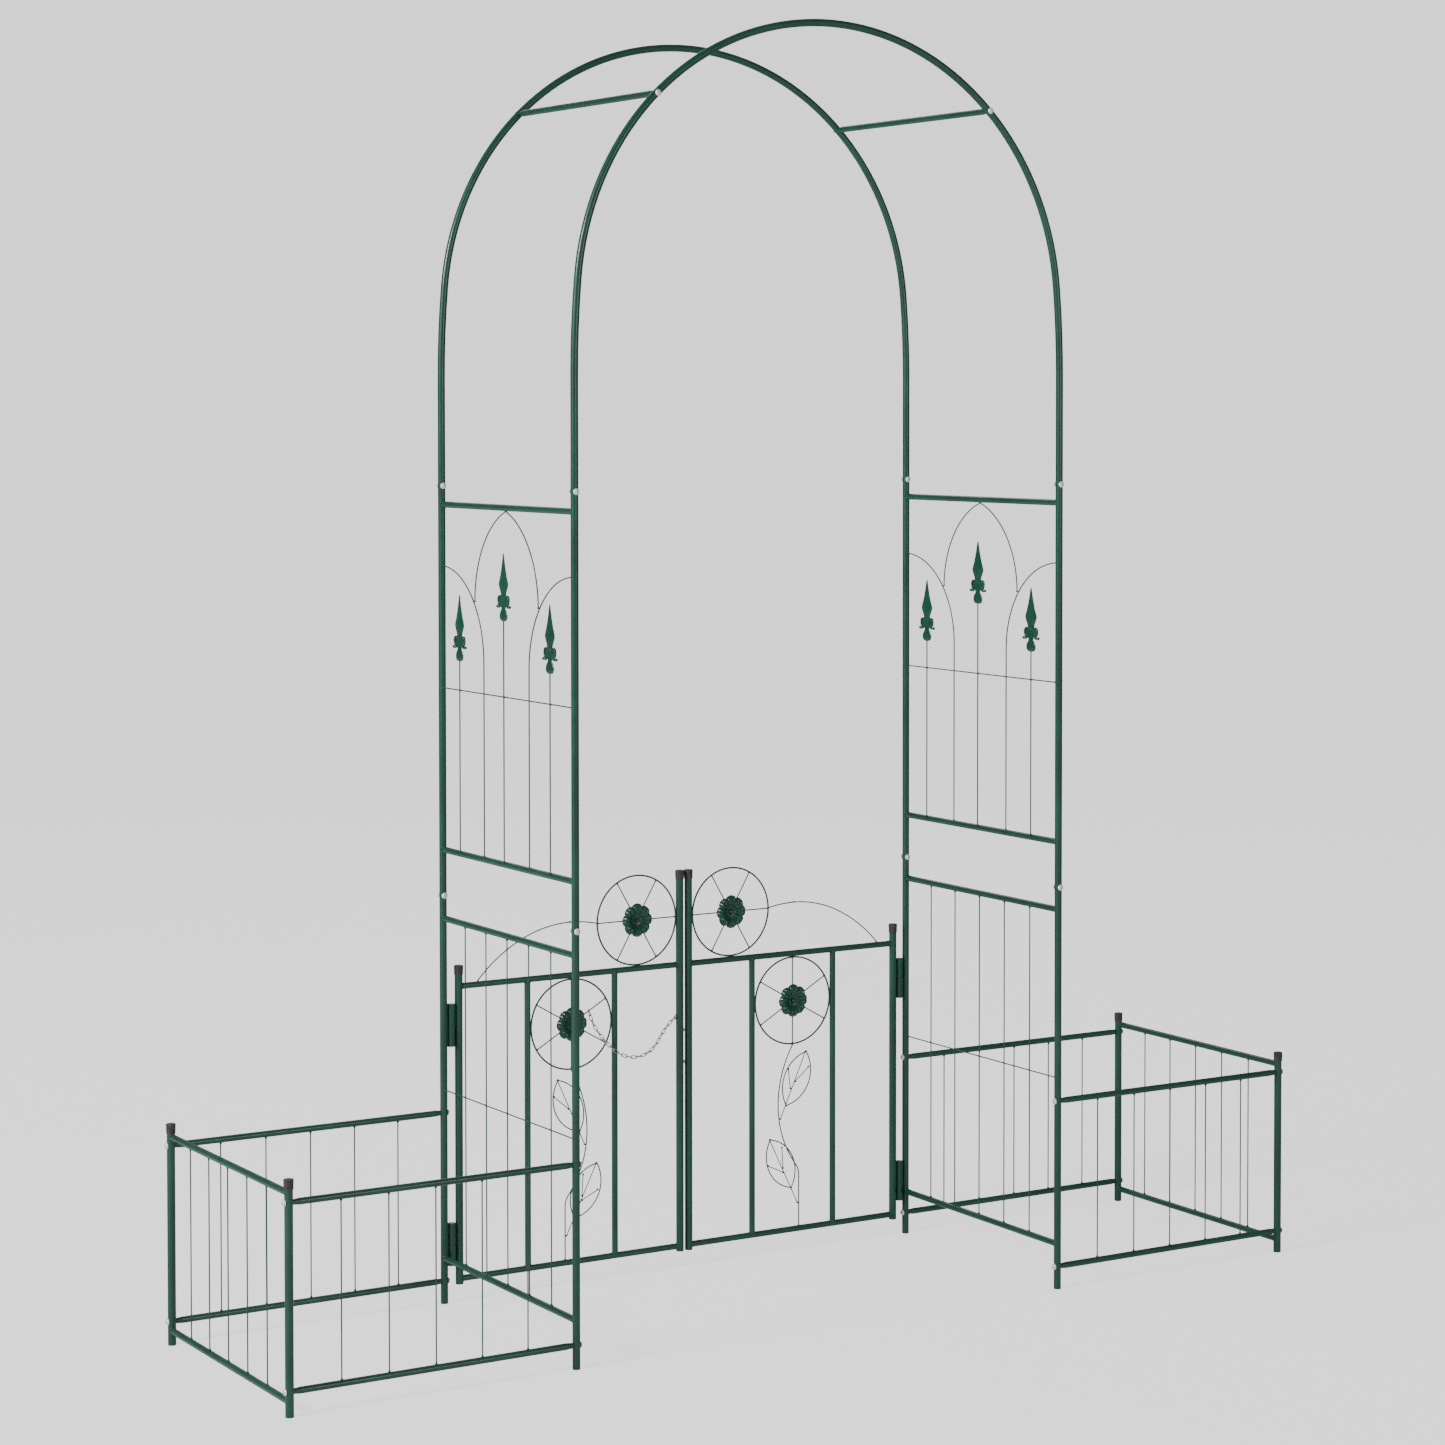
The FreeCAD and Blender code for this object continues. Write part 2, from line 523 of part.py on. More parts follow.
TO_MINUS_X = FreeCAD.Rotation(FreeCAD.Vector(0, 1, 0), -90)
TO_MINUS_Y = FreeCAD.Rotation(FreeCAD.Vector(1, 0, 0), 90)
screws = [copy(frame_screw, f"{side} * {JOINT_X}", f"{end} * (arch_depth + leg_outer) / 2", JOINT_Z,
               TURN["Y"] if end == "-1" else TO_MINUS_Y)
          for side in SIDES.values() for end in ENDS.values()]
for side, left_right in SIDES.items():
    inward, outward = (TO_MINUS_X, TURN["X"]) if side == "right" else (TURN["X"], TO_MINUS_X)
    for end in ENDS.values():
        for level in ("planter_low", "planter_high"):
            screws.append(copy(frame_screw, f"{left_right} * ({POST_X} + {POST_R})", f"{end} * {LEG_Y}",
                               level, inward))
            screws.append(copy(frame_screw, f"{left_right} * ({LEG_X} - {LEG_R})", f"{end} * {LEG_Y}",
                               level, outward))
node("frame_screws", screws)


# Hinges ----------------------------------------------------------------------------------------

def barrel(name, neighbour_radius, direction):
    """Half a hinge: a barrel on the axis, with a tab shaped to the upright beside it."""
    body = bar(name + "_round", "barrel_outer / 2", "barrel_half")
    tab = primitive("Box", name + "_tab", Length="hinge_reach", Width="tab_thick", Height="barrel_half")
    place(tab, "0" if direction == "1" else "-hinge_reach", "-tab_thick / 2")
    tools = [bar(name + "_pin_hole", "pin_size / 2 + pin_gap", "2 * barrel_half", z="-barrel_half / 2"),
             bar(name + "_upright", neighbour_radius, "2 * barrel_half",
                 f"{direction} * hinge_reach", z="-barrel_half / 2")]
    return cut(name, fuse(name + "_blank", [body, tab]), tools)


leg_barrel = barrel("leg_barrel", LEG_R, "1")
gate_barrel = barrel("gate_barrel", POST_R, "-1")
hinge_pin = bar("hinge_pin", "pin_size / 2", "2 * barrel_half")
hinges = ("low_hinge", "high_hinge")
to_side = {"right": TURN["Z"], "left": FreeCAD.Rotation(FreeCAD.Vector(0, 0, 1), 180)}
node("hinge_leg_barrels", [
    copy(leg_barrel, f"{left_right} * {HINGE_X}", LEG_Y, f"{level} - barrel_half - barrel_gap / 2",
         to_side[side]) for side, left_right in SIDES.items() for level in hinges])
node("hinge_pins", [
    copy(hinge_pin, f"{left_right} * {HINGE_X}", LEG_Y, f"{level} - barrel_half")
    for left_right in SIDES.values() for level in hinges])


# Right gate leaf, in the plane of the rear hoop; the left leaf is its mirror image -------------

hinge_post = post_tube("hinge_post", "gate_floor", f"hinge_post_top - ({POST_TOP_DROP})")
meeting_post = post_tube("meeting_post", "gate_floor", f"meeting_post_top - ({POST_TOP_DROP})")
gate_rail = coped_bar("gate_rail", RAIL_R, f"({HINGE_POST_X} - {MEETING_X})", POST_R, "rail_wall")
gate_bar = coped_bar("gate_bar", RAIL_R, "(gate_high - gate_low)", RAIL_R, "rail_wall")
node("right_hinge_post", [hinge_post], HINGE_POST_X, LEG_Y)
node("right_meeting_post", [meeting_post], MEETING_X, LEG_Y)
node("right_gate_rails", [copy(gate_rail, LEAF_X, LEG_Y, level) for level in ("gate_low", "gate_high")])
node("right_gate_bars", [
    copy(gate_bar, f"{LEAF_X} + {step} * ({WHEEL_R} + {RAIL_R})", LEG_Y, "(gate_low + gate_high) / 2",
         FreeCAD.Rotation(FreeCAD.Vector(0, 1, 0), -90)) for step in ("-1", "1")])
node("right_gate_barrels", [copy(gate_barrel, HINGE_X, LEG_Y, f"{level} + barrel_gap / 2")
                            for level in hinges])
node("right_gate_caps", [copy(cap, HINGE_POST_X, LEG_Y, "hinge_post_top"),
                         copy(cap, MEETING_X, LEG_Y, "meeting_post_top")])


def wheel(name, centre, first_spoke):
    """A ring of thick wire with six spokes."""
    x, z = centre
    ring = primitive("Torus", name + "_ring", Radius1=f"{WHEEL_R} - ring_wire / 2", Radius2="ring_wire / 2")
    pieces = [place(ring, x, LEG_Y, z, FreeCAD.Rotation(FreeCAD.Vector(1, 0, 0), 90))]
    spoke = bar(name + "_spoke", ROD_R, f"{RING_INNER} - hub_clear", "hub_clear", along="X")
    flat = doc.addObject("Part::Compound", name + "_spoke_arm")
    flat.Links = [spoke]
    for step in range(6):
        turn = FreeCAD.Rotation(FreeCAD.Vector(0, -1, 0), first_spoke + 60 * step)
        pieces.append(copy(flat, x, LEG_Y, z, turn))
    return pieces


def rosette(name):
    """A scalloped cup of petals with a small boss, open towards the front."""
    ring = "((rosette_size - petal_size) / 2)"
    petals = [bar(f"{name}_petal", "petal_size / 2", "rosette_depth",
                  f"{ring} * cos({step} * 360 / petals)", f"{ring} * sin({step} * 360 / petals)")
              for step in range(SIZES["petals"])]
    core = bar(name + "_core", ring, "rosette_depth")
    cup = primitive("Cone", name + "_hollow", Radius1="boss_size / 2", Height="rosette_depth",
                    Radius2="rosette_size / 2 - rosette_rim")
    hollow = cut(name + "_cup", fuse(name + "_disc", petals + [core]), [place(cup, z="rosette_back")])
    boss = primitive("Sphere", name + "_boss", Radius="boss_size / 2", Angle1="0")
    return fuse(name, [hollow, place(boss, z="boss_lift")])


flower = rosette("flower")
facing_front = FreeCAD.Rotation(FreeCAD.Vector(1, 0, 0), 90)
node("right_flower_wheels", wheel("high_wheel", HIGH_WHEEL, 0) + wheel("low_wheel", LOW_WHEEL, 30))
node("right_rosettes", [copy(flower, x, f"{LEG_Y} - {ROD_R}", z, facing_front)
                        for x, z in (HIGH_WHEEL, LOW_WHEEL)])


def vine_wires():
    """The stem from the bottom rail to the low wheel, and two leaves, about the leaf's middle."""
    foot, top = value(f"gate_low + {RAIL_R}"), value(f"{LOW_WHEEL[1]} - {WHEEL_R} - rod_size / 3")
    stem = [(14.6, foot), (14.6, 151), (6.9, 174), (-33.8, 295), (0, top)]
    wires = [bent_wire("vine_stem", tangent_arcs(stem, 90), "vine_wire")]
    leaves = [
        {"tip": (30.7, 399), "base": (-16.4, 295), "sides": ((-10.6, 372.5), (41.3, 366)),
         "stalk": (-28.4, 268.5), "veins": (((-9.6, 367), (-5.2, 328)), ((38, 367), (6.5, 341)))},
        {"tip": (-54, 229), "base": (-4.9, 128), "sides": ((-62.7, 201.5), (4.5, 163)),
         "stalk": (11.4, 95), "veins": (((-25, 210), (-22.4, 169)), ((-57.5, 176.5), (-22.6, 160.5)))}]
    for number, leaf in enumerate(leaves, start=1):
        tip, base = (FreeCAD.Vector(x, 0, z) for x, z in (leaf["tip"], leaf["base"]))
        halves = []
        for side, (x, z) in zip(("left", "right"), leaf["sides"]):
            arc = Part.Arc(tip, FreeCAD.Vector(x, 0, z), base).toShape()
            halves.append(bent_wire(f"leaf_{number}_{side}", [arc], "vine_wire", -value("vine_wire")))
        wires.append(fuse(f"leaf_{number}_outline", halves))
        stalk = FreeCAD.Vector(leaf["stalk"][0], 0, leaf["stalk"][1])
        wires.append(bent_wire(f"leaf_{number}_midrib", [Part.makeLine(tip, stalk)], "vein_wire"))
        for vein, ((x0, z0), (x1, z1)) in enumerate(leaf["veins"], start=1):
            edge = Part.makeLine(FreeCAD.Vector(x0, 0, z0), FreeCAD.Vector(x1, 0, z1))
            wires.append(bent_wire(f"leaf_{number}_vein_{vein}", [edge], "vein_wire"))
    return wires


def scroll_wire():
    """The wire that sweeps from the high wheel down to the top rail near the hinge post."""
    x, z = value(f"{HIGH_WHEEL[0]} + {WHEEL_R}"), value(HIGH_WHEEL[1])
    end_x, end_z = value(f"{HINGE_POST_X} - scroll_margin"), value(f"gate_high + {RAIL_R} + rod_size / 3")
    run = end_x - x
    points = [(x + 0.6, z + 1), (x + run * 0.228, z + 7.5), (x + run * 0.597, z - 12.5), (end_x, end_z)]
    return bent_wire("scroll", tangent_arcs(points, 13), "vine_wire")


node("right_vine", vine_wires(), LEAF_X, LEG_Y)
node("right_scroll", [scroll_wire()], y=LEG_Y)

for piece in ("hinge_post", "meeting_post", "gate_rails", "gate_bars", "gate_barrels", "gate_caps",
              "flower_wheels", "rosettes", "vine", "scroll"):
    mirrored_node(f"left_{piece}", f"right_{piece}")


# Latch chain and staples -----------------------------------------------------------------------

def staple(name, reach, face, level, direction):
    """Half a ring of wire that stands out from a post's face, towards +X or -X."""
    radius = f"({reach} - staple_wire / 2)"
    start = "-90" if direction > 0 else "90"
    return ring_arc(name, radius, "staple_wire / 2", start, "180", face, level)


MEETING_FACE = f"({MEETING_X} + {POST_R})"
node("left_staples", [
    staple("chain_staple", "staple_reach", f"-{MEETING_FACE}", "staple_level", -1),
    staple("left_eye", "eye_reach", "-meeting_gap / 2", "left_eye_level", 1)], y=LEG_Y)
node("right_staple", [staple("right_eye", "eye_reach", "meeting_gap / 2", "right_eye_level", -1)],
     y=LEG_Y)


def chain_link(name, pitch):
    """One oval link along its own X axis, with its width along Z."""
    wire, straight = "link_wire / 2", f"({pitch} + link_slack + 2 * link_wire - link_width)"
    bow = "(link_width - link_wire) / 2"
    pieces = []
    for end, start in (("1", "-90"), ("-1", "90")):
        pieces.append(ring_arc(f"{name}_bow", bow, wire, start, "180", f"{end} * {straight} / 2"))
        pieces.append(bar(f"{name}_side", wire, straight, f"-{straight} / 2", "0", f"{end} * {bow}", "X"))
    return fuse(name, pieces)


# The chain's hanging line: shares of its span and of its drop, then where it stands clear.
CHAIN_SAG = [(0.10, 0.47), (0.27, 0.83), (0.48, 1.0), (0.78, 0.73)]
CHAIN_LEAVES, CHAIN_ARRIVES, CHAIN_HEADING = 0.27, 0.4, -82
CHAIN_KNOTS, CHAIN_STEPS = 40, 2000


def chain_path():
    """The line on which the chain hangs, from a spoke of the low wheel to the meeting post.

    It stands clear of the wheel's rim and of the bar that it crosses.
    """
    spoke_turn = math.radians(30)
    hang = value("hang_radius")
    start_x = -value(LEAF_X) + hang * math.cos(spoke_turn)
    start_z = value(LOW_WHEEL[1]) + hang * math.sin(spoke_turn)
    end_x, end_z = -value(f"{MEETING_FACE} + staple_reach - 2 * staple_wire"), value("staple_level")
    across, drop = end_x - start_x, value("chain_drop")
    hook = value("(rod_size + link_wire) / 2 + link_slack") / math.cos(spoke_turn)
    points = [(start_x, start_z + hook)]
    points += [(start_x + across * share, start_z - drop * depth) for share, depth in CHAIN_SAG]
    points += [(end_x, end_z)]
    flat = Part.Wire(tangent_arcs(points, CHAIN_HEADING)).discretize(Number=CHAIN_KNOTS + 1)
    stand = value(f"{RAIL_R} + link_width / 2 + link_wire / 3")
    for number, mark in enumerate(flat):
        share = number / CHAIN_KNOTS
        leave, arrive = min(share / CHAIN_LEAVES, 1), min((1 - share) / CHAIN_ARRIVES, 1)
        mark.y = -stand * (1 - math.cos(leave * math.pi)) * (1 - math.cos(arrive * math.pi)) / 4
    curve = Part.BSplineCurve()
    curve.interpolate(flat)
    return curve.toShape()


def chain_links():
    path = chain_path()
    wire, slack = value("link_wire"), value("link_slack")
    count = round((path.Length - slack - wire) / value("link_pitch"))
    count += 1 - count % 2
    pitch = (path.Length - slack - wire) / count
    link = chain_link("chain_link", str(pitch))
    half = (pitch + slack + wire) / 2
    marks = path.discretize(Number=CHAIN_STEPS + 1)
    step = path.Length / CHAIN_STEPS
    links = []
    for number in range(count):
        middle = half + number * pitch
        first = marks[round((middle - half) / step)]
        last = marks[round((middle + half) / step)]
        along, rear = last - first, FreeCAD.Vector(0, 1, 0)
        turn = FreeCAD.Rotation(along, rear, along.cross(rear), "XYZ")
        if number % 2 == 0:
            turn = turn.multiply(FreeCAD.Rotation(FreeCAD.Vector(1, 0, 0), 90))
        spot = (first + last) / 2
        links.append(copy(link, str(spot.x), str(spot.y), str(spot.z), turn))
    return links


node("latch_chain", chain_links(), y=LEG_Y)


# Checks and export -----------------------------------------------------------------------------

doc.recompute()
for piece in doc.Objects:
    if "Invalid" in piece.State or "Error" in piece.State:
        raise RuntimeError(f"{piece.Name} did not recompute: {piece.State}")
for name, piece in NODES.items():
    if piece.Shape.isNull() or not piece.Shape.isValid() or not piece.Shape.Solids:
        raise RuntimeError(f"{name} has no valid solid")

os.makedirs("parts", exist_ok=True)
for name, piece in NODES.items():
    piece.Shape.exportStep(f"parts/{name}.step")
    print(name, len(piece.Shape.Solids), round(piece.Shape.Volume))
print(len(NODES), "nodes")
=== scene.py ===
"""Looks of the garden arch: paint, plating, welds, castings, chain and stage around its CAD frame."""
import math

import bmesh
import bpy
from mathutils import Euler, Matrix, Vector


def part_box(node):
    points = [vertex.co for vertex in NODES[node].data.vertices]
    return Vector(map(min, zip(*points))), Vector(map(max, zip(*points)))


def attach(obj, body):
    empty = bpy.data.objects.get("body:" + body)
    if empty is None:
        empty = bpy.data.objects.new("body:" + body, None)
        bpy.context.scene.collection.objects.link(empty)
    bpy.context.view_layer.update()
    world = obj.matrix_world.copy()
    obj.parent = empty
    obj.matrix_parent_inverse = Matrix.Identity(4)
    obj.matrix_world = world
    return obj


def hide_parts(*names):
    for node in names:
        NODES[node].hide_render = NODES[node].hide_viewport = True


bl_info = {
    "name": "Garden Arch Looks",
    "version": (1, 0, 0),
    "blender": (4, 5, 0),
    "location": "View3D > Sidebar > Garden Arch",
    "description": "Finishes a steel garden arch with paint, welds, castings and a chain",
    "category": "Object",
}

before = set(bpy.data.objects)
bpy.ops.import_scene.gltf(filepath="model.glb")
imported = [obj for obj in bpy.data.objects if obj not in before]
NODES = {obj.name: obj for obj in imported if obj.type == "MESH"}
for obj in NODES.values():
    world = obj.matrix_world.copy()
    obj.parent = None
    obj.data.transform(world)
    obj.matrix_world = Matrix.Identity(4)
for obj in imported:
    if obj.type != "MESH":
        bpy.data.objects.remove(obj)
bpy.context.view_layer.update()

SIDES = ("left", "right")
ENDS = ("front", "rear")
FRAME = "frame"
LEAF = {"left": "left_leaf", "right": "right_leaf"}
PLATED = ("leg_bolts", "leg_nuts", "frame_screws", "hinge_pins")
CAPPED = ("planter_caps", "left_gate_caps", "right_gate_caps")
MM = 0.001

# Points closer than this are one, a wire's end is this long, and pieces this close meet each other.
SAME_POINT = 0.000002
WIRE_END = 0.8 * MM
MEETING = 20 * MM
# The gate's wheels: no spoke is as wide as the least wheel, and how thick a rim is.
LEAST_WHEEL, RIM_WIRE = 120 * MM, 3.5 * MM
# How far the surface of a spot weld and of a rail's bead wanders, and how close its lumps are.
SPOT_LUMPS, BEAD_LUMPS, LUMP_SCALE = 1.2 * MM, 0.5 * MM, 650.0
# How many sides or steps each grown or cast shape has.
FLARE_SIDES = 14
BEAD_STEPS, BEAD_SIDES = 36, 8
LINK_STEPS, LINK_SIDES = 32, 10
BLADE_SIDES = 24


# Sizes and colours -----------------------------------------------------------------------------

def colour(name, description, default):
    return bpy.props.FloatVectorProperty(name=name, description=description, default=default,
                                         subtype="COLOR", size=3, min=0, max=1)


def length(name, description, default):
    return bpy.props.FloatProperty(name=name, description=description, default=default, min=0,
                                   subtype="DISTANCE", unit="LENGTH", precision=5)


def share(name, description, default):
    return bpy.props.FloatProperty(name=name, description=description, default=default, min=0, max=1,
                                   subtype="FACTOR")


class PaintSettings(bpy.types.PropertyGroup):
    """The green powder coat and the bare finishes."""
    green: colour("Green", "Colour of the powder coat", (0.003, 0.082, 0.046))
    # Deep green also carries painted shade: a third of it is painted into a casting's creases and hollows.
    deep_green: colour("Deep green", "Colour where the coat is thick", (0.002, 0.054, 0.031))
    dust: colour("Dust", "Colour of dust on upward faces", (0.30, 0.34, 0.30))
    zinc: colour("Zinc", "Colour of the plated bolts", (0.93, 0.94, 0.95))
    chain: colour("Chain", "Colour of the chain's steel", (0.42, 0.42, 0.43))
    plastic: colour("Plastic", "Colour of the post caps", (0.030, 0.028, 0.029))
    gloss: share("Gloss", "How smooth the powder coat is", 0.62)
    peel: length("Orange peel", "Size of the coat's fine bumps", 0.0011)


class WeldSettings(bpy.types.PropertyGroup):
    """The welds between rods, rails and posts."""
    flare_height: length("Flare height", "How far a rod's weld climbs it", 0.0034)
    flare_spread: length("Flare spread", "Radius of a rod's weld on the rail", 0.0027)
    rod_radius: length("Rod radius", "Radius of the thin rods", 0.00125)
    bead: length("Bead", "Radius of the bead round a rail's end", 0.0011)
    spot: length("Spot", "Radius of a spot weld", 0.0021)


class CastingSettings(bpy.types.PropertyGroup):
    """The rosettes and the spearheads."""
    petals: bpy.props.IntProperty(name="Petals", description="Lobes of a rosette", default=8, min=3)
    notch: share("Notch", "Depth of the notches between petals", 0.13)
    crease: length("Crease", "Depth of the creases between petals", 0.0034)
    shell: length("Shell", "Thickness of a rosette's metal", 0.0014)
    boss: length("Boss", "Radius of a rosette's middle boss", 0.0036)


class ChainSettings(bpy.types.PropertyGroup):
    """The latch chain."""
    wire: length("Wire", "Thickness of the links' wire", 0.0018)
    width: length("Width", "Outside width of a link", 0.0072)


class StageSettings(bpy.types.PropertyGroup):
    """The floor, lights and camera."""
    floor: colour("Floor", "Colour of the floor", (0.90, 0.90, 0.90))
    floor_size: length("Floor size", "Width of the floor", 120.0)
    floor_glow: bpy.props.FloatProperty(name="Floor glow", description="How much the floor lights itself",
                                        default=1.32, min=0)
    sky: bpy.props.FloatProperty(name="Sky", description="Brightness of the backdrop", default=1.4, min=0)
    ambient: bpy.props.FloatProperty(name="Ambient", description="Light from all round", default=0.16,
                                     min=0)
    eye: bpy.props.FloatVectorProperty(name="Eye", description="Where the camera stands", size=3,
                                       default=(-3.3746, -5.5894, 1.6976), subtype="TRANSLATION")
    heading: bpy.props.FloatProperty(name="Heading", description="Turn of the camera towards +X",
                                     default=math.radians(32.055), subtype="ANGLE")
    tilt: bpy.props.FloatProperty(name="Tilt", description="How far the camera looks down",
                                  default=math.radians(1.906), subtype="ANGLE")
    lens: bpy.props.FloatProperty(name="Lens", description="Focal length", default=85.95,
                                  subtype="DISTANCE_CAMERA", unit="CAMERA")
    shift_x: bpy.props.FloatProperty(name="Shift X", description="Sideways lens shift", default=-0.06)
    shift_y: bpy.props.FloatProperty(name="Shift Y", description="Upward lens shift", default=-0.14)


SETTINGS = {"paint": PaintSettings, "welds": WeldSettings, "castings": CastingSettings,
            "chain": ChainSettings, "stage": StageSettings}


class ArchSettings(bpy.types.PropertyGroup):
    """Everything that can be set on the arch."""
    paint: bpy.props.PointerProperty(type=PaintSettings)
    welds: bpy.props.PointerProperty(type=WeldSettings)
    castings: bpy.props.PointerProperty(type=CastingSettings)
    chain: bpy.props.PointerProperty(type=ChainSettings)
    stage: bpy.props.PointerProperty(type=StageSettings)


# Node trees ------------------------------------------------------------------------------------

def fill(tree, node, inputs):
    """Sets or links a node's inputs, by name or by number."""
    for key, source in inputs.items():
        if isinstance(source, bpy.types.NodeSocket):
            tree.links.new(source, node.inputs[key])
        else:
            node.inputs[key].default_value = source
    return node


def add(tree, kind, inputs=None, **settings):
    node = tree.nodes.new(kind)
    for name, setting in settings.items():
        setattr(node, name, setting)
    return fill(tree, node, inputs or {})


def maths(tree, operation, *terms, kind="ShaderNodeMath"):
    """The result of a math node fed with numbers or sockets."""
    return add(tree, kind, dict(enumerate(terms)), operation=operation).outputs[0]


def open_tree(name, kind, inputs, outputs):
    """A new group with named sockets, and its input and output nodes."""
    tree = bpy.data.node_groups.new(name, kind)
    for direction, sockets in (("INPUT", inputs), ("OUTPUT", outputs)):
        for socket, socket_kind in sockets:
            tree.interface.new_socket(name=socket, in_out=direction, socket_type=f"NodeSocket{socket_kind}")
    return tree, tree.nodes.new("NodeGroupInput").outputs, tree.nodes.new("NodeGroupOutput")


def mix(tree, factor, first, second):
    node = add(tree, "ShaderNodeMix", {0: factor}, data_type="RGBA", clamp_factor=True)
    return fill(tree, node, {6: first, 7: second}).outputs[2]


def spread(tree, socket, low, high, to_low=0.0, to_high=1.0):
    """Maps a value from one range to another, held at its ends."""
    node = add(tree, "ShaderNodeMapRange", clamp=True)
    names = ("Value", "From Min", "From Max", "To Min", "To Max")
    return fill(tree, node, dict(zip(names, (socket, low, high, to_low, to_high)))).outputs[0]


def clouds(tree, place, scale, detail=3.0, rough=0.5):
    """A noise value at a place."""
    inputs = {"Vector": place, "Scale": scale, "Detail": detail, "Roughness": rough}
    return add(tree, "ShaderNodeTexNoise", inputs).outputs[0]


# Shared shader groups --------------------------------------------------------------------------

def coat_group():
    """Powder coat: cloudy colour, orange peel, thin rubbed edges and small chips, with painted shade
    darkening its creases and hollows.
    """
    tree, given, out = open_tree(
        "coat", "ShaderNodeTree",
        [("Color", "Color"), ("Deep Color", "Color"), ("Gloss", "Float"), ("Peel", "Float"),
         ("Rub", "Float"), ("Hollow Shade", "Float")],
        [("Color", "Color"), ("Roughness", "Float"), ("Height", "Float")])
    place = add(tree, "ShaderNodeTexCoord").outputs["Object"]
    cloud = clouds(tree, place, 9.0, 4.0, 0.6)
    patch = clouds(tree, place, 60.0, 3.0)
    tone = mix(tree, spread(tree, cloud, 0.35, 0.65), given["Deep Color"], given["Color"])
    lighter = mix(tree, 0.5, given["Color"], (0.10, 0.20, 0.15, 1))
    edge = add(tree, "ShaderNodeNewGeometry").outputs["Pointiness"]
    rub = maths(tree, "MULTIPLY", spread(tree, edge, 0.52, 0.62), given["Rub"])
    chip = maths(tree, "MULTIPLY", spread(tree, clouds(tree, place, 240.0, 5.0, 0.7), 0.70, 0.78), 0.5)
    worn = maths(tree, "MAXIMUM", rub, chip)
    peel_scale = maths(tree, "DIVIDE", 1.0, given["Peel"])
    peel = clouds(tree, place, peel_scale, 1.0)
    matt = maths(tree, "SUBTRACT", 1.0, given["Gloss"])
    rough = maths(tree, "ADD", matt, spread(tree, patch, 0.3, 0.7, -0.05, 0.10))
    height = maths(tree, "ADD", peel, maths(tree, "MULTIPLY", patch, 0.6))
    # Painted shade: hollow spots, found by low pointiness, darken to a third of the deep colour as if in
    # shadow, where this group's shade input is 1.
    painted_hollow_shade = maths(tree, "MULTIPLY", spread(tree, edge, 0.49, 0.42), given["Hollow Shade"])
    hollow_shade_colour = add(tree, "ShaderNodeVectorMath", {0: given["Deep Color"], "Scale": 0.35}, operation="SCALE")
    body = mix(tree, painted_hollow_shade, tone, hollow_shade_colour.outputs[0])
    fill(tree, out, {"Color": mix(tree, worn, body, lighter), "Roughness": rough, "Height": height})
    return tree


def dust_group():
    """Pale dust that settles on faces that look up."""
    tree, given, out = open_tree("settled_dust", "ShaderNodeTree",
                                 [("Color", "Color"), ("Dust", "Color"), ("Amount", "Float")],
                                 [("Color", "Color")])
    place = add(tree, "ShaderNodeTexCoord").outputs["Object"]
    normal = add(tree, "ShaderNodeNewGeometry").outputs["Normal"]
    up = add(tree, "ShaderNodeSeparateXYZ", {0: normal}).outputs[2]
    patch = spread(tree, clouds(tree, place, 35.0), 0.3, 0.8)
    lying = maths(tree, "MULTIPLY", spread(tree, up, 0.35, 1.0), patch)
    amount = maths(tree, "MULTIPLY", lying, given["Amount"])
    fill(tree, out, {"Color": mix(tree, amount, given["Color"], given["Dust"])})
    return tree


def metal_group():
    """Plated or bare metal: fine brushing, blotches and dull spots."""
    tree, given, out = open_tree("plating", "ShaderNodeTree",
                                 [("Color", "Color"), ("Roughness", "Float"), ("Tarnish", "Color")],
                                 [("Color", "Color"), ("Roughness", "Float"), ("Height", "Float")])
    place = add(tree, "ShaderNodeTexCoord").outputs["Object"]
    blotch = clouds(tree, place, 180.0, 4.0, 0.65)
    grain = clouds(tree, place, 2600.0, 2.0)
    dull = spread(tree, blotch, 0.45, 0.75)
    rough = maths(tree, "ADD", given["Roughness"], maths(tree, "MULTIPLY", dull, 0.22))
    colour_out = mix(tree, maths(tree, "MULTIPLY", dull, 0.55), given["Color"], given["Tarnish"])
    fill(tree, out, {"Color": colour_out, "Roughness": rough, "Height": grain})
    return tree


GROUPS = {}


def shared(name):
    """One of the shared shader groups, built the first time it is asked for."""
    makers = {"coat": coat_group, "dust": dust_group, "metal": metal_group}
    if name not in GROUPS:
        GROUPS[name] = makers[name]()
    return GROUPS[name]


def use(tree, name, inputs):
    """A shared group set in a material, with its inputs filled."""
    return fill(tree, add(tree, "ShaderNodeGroup", node_tree=shared(name)), inputs).outputs


def new_material(name):
    material = bpy.data.materials.new(name)
    material.use_nodes = True
    return material, material.node_tree, material.node_tree.nodes["Principled BSDF"]


def bumped(tree, shader, height, strength, distance):
    bump = add(tree, "ShaderNodeBump", {"Strength": strength, "Distance": distance, "Height": height})
    tree.links.new(bump.outputs[0], shader.inputs["Normal"])


def painted(name, settings, gloss, peel, rub, bump, hollow_shade=0.0):
    """Green powder coat. A casting or a weld has a coarser peel and more relief than a tube. A casting also
    has painted shade darkening its creases and hollows.
    """
    material, tree, shader = new_material(name)
    coat = use(tree, "coat", {"Color": (*settings.green, 1), "Deep Color": (*settings.deep_green, 1),
                              "Gloss": gloss, "Peel": peel, "Rub": rub, "Hollow Shade": hollow_shade})
    dusted = use(tree, "dust", {"Color": coat["Color"], "Dust": (*settings.dust, 1), "Amount": 0.10})
    fill(tree, shader, {"Base Color": dusted["Color"], "Roughness": coat["Roughness"],
                        "Specular IOR Level": 0.5, "Coat Weight": 0.25, "Coat Roughness": 0.15})
    bumped(tree, shader, coat["Height"], bump, 0.0002)
    return material


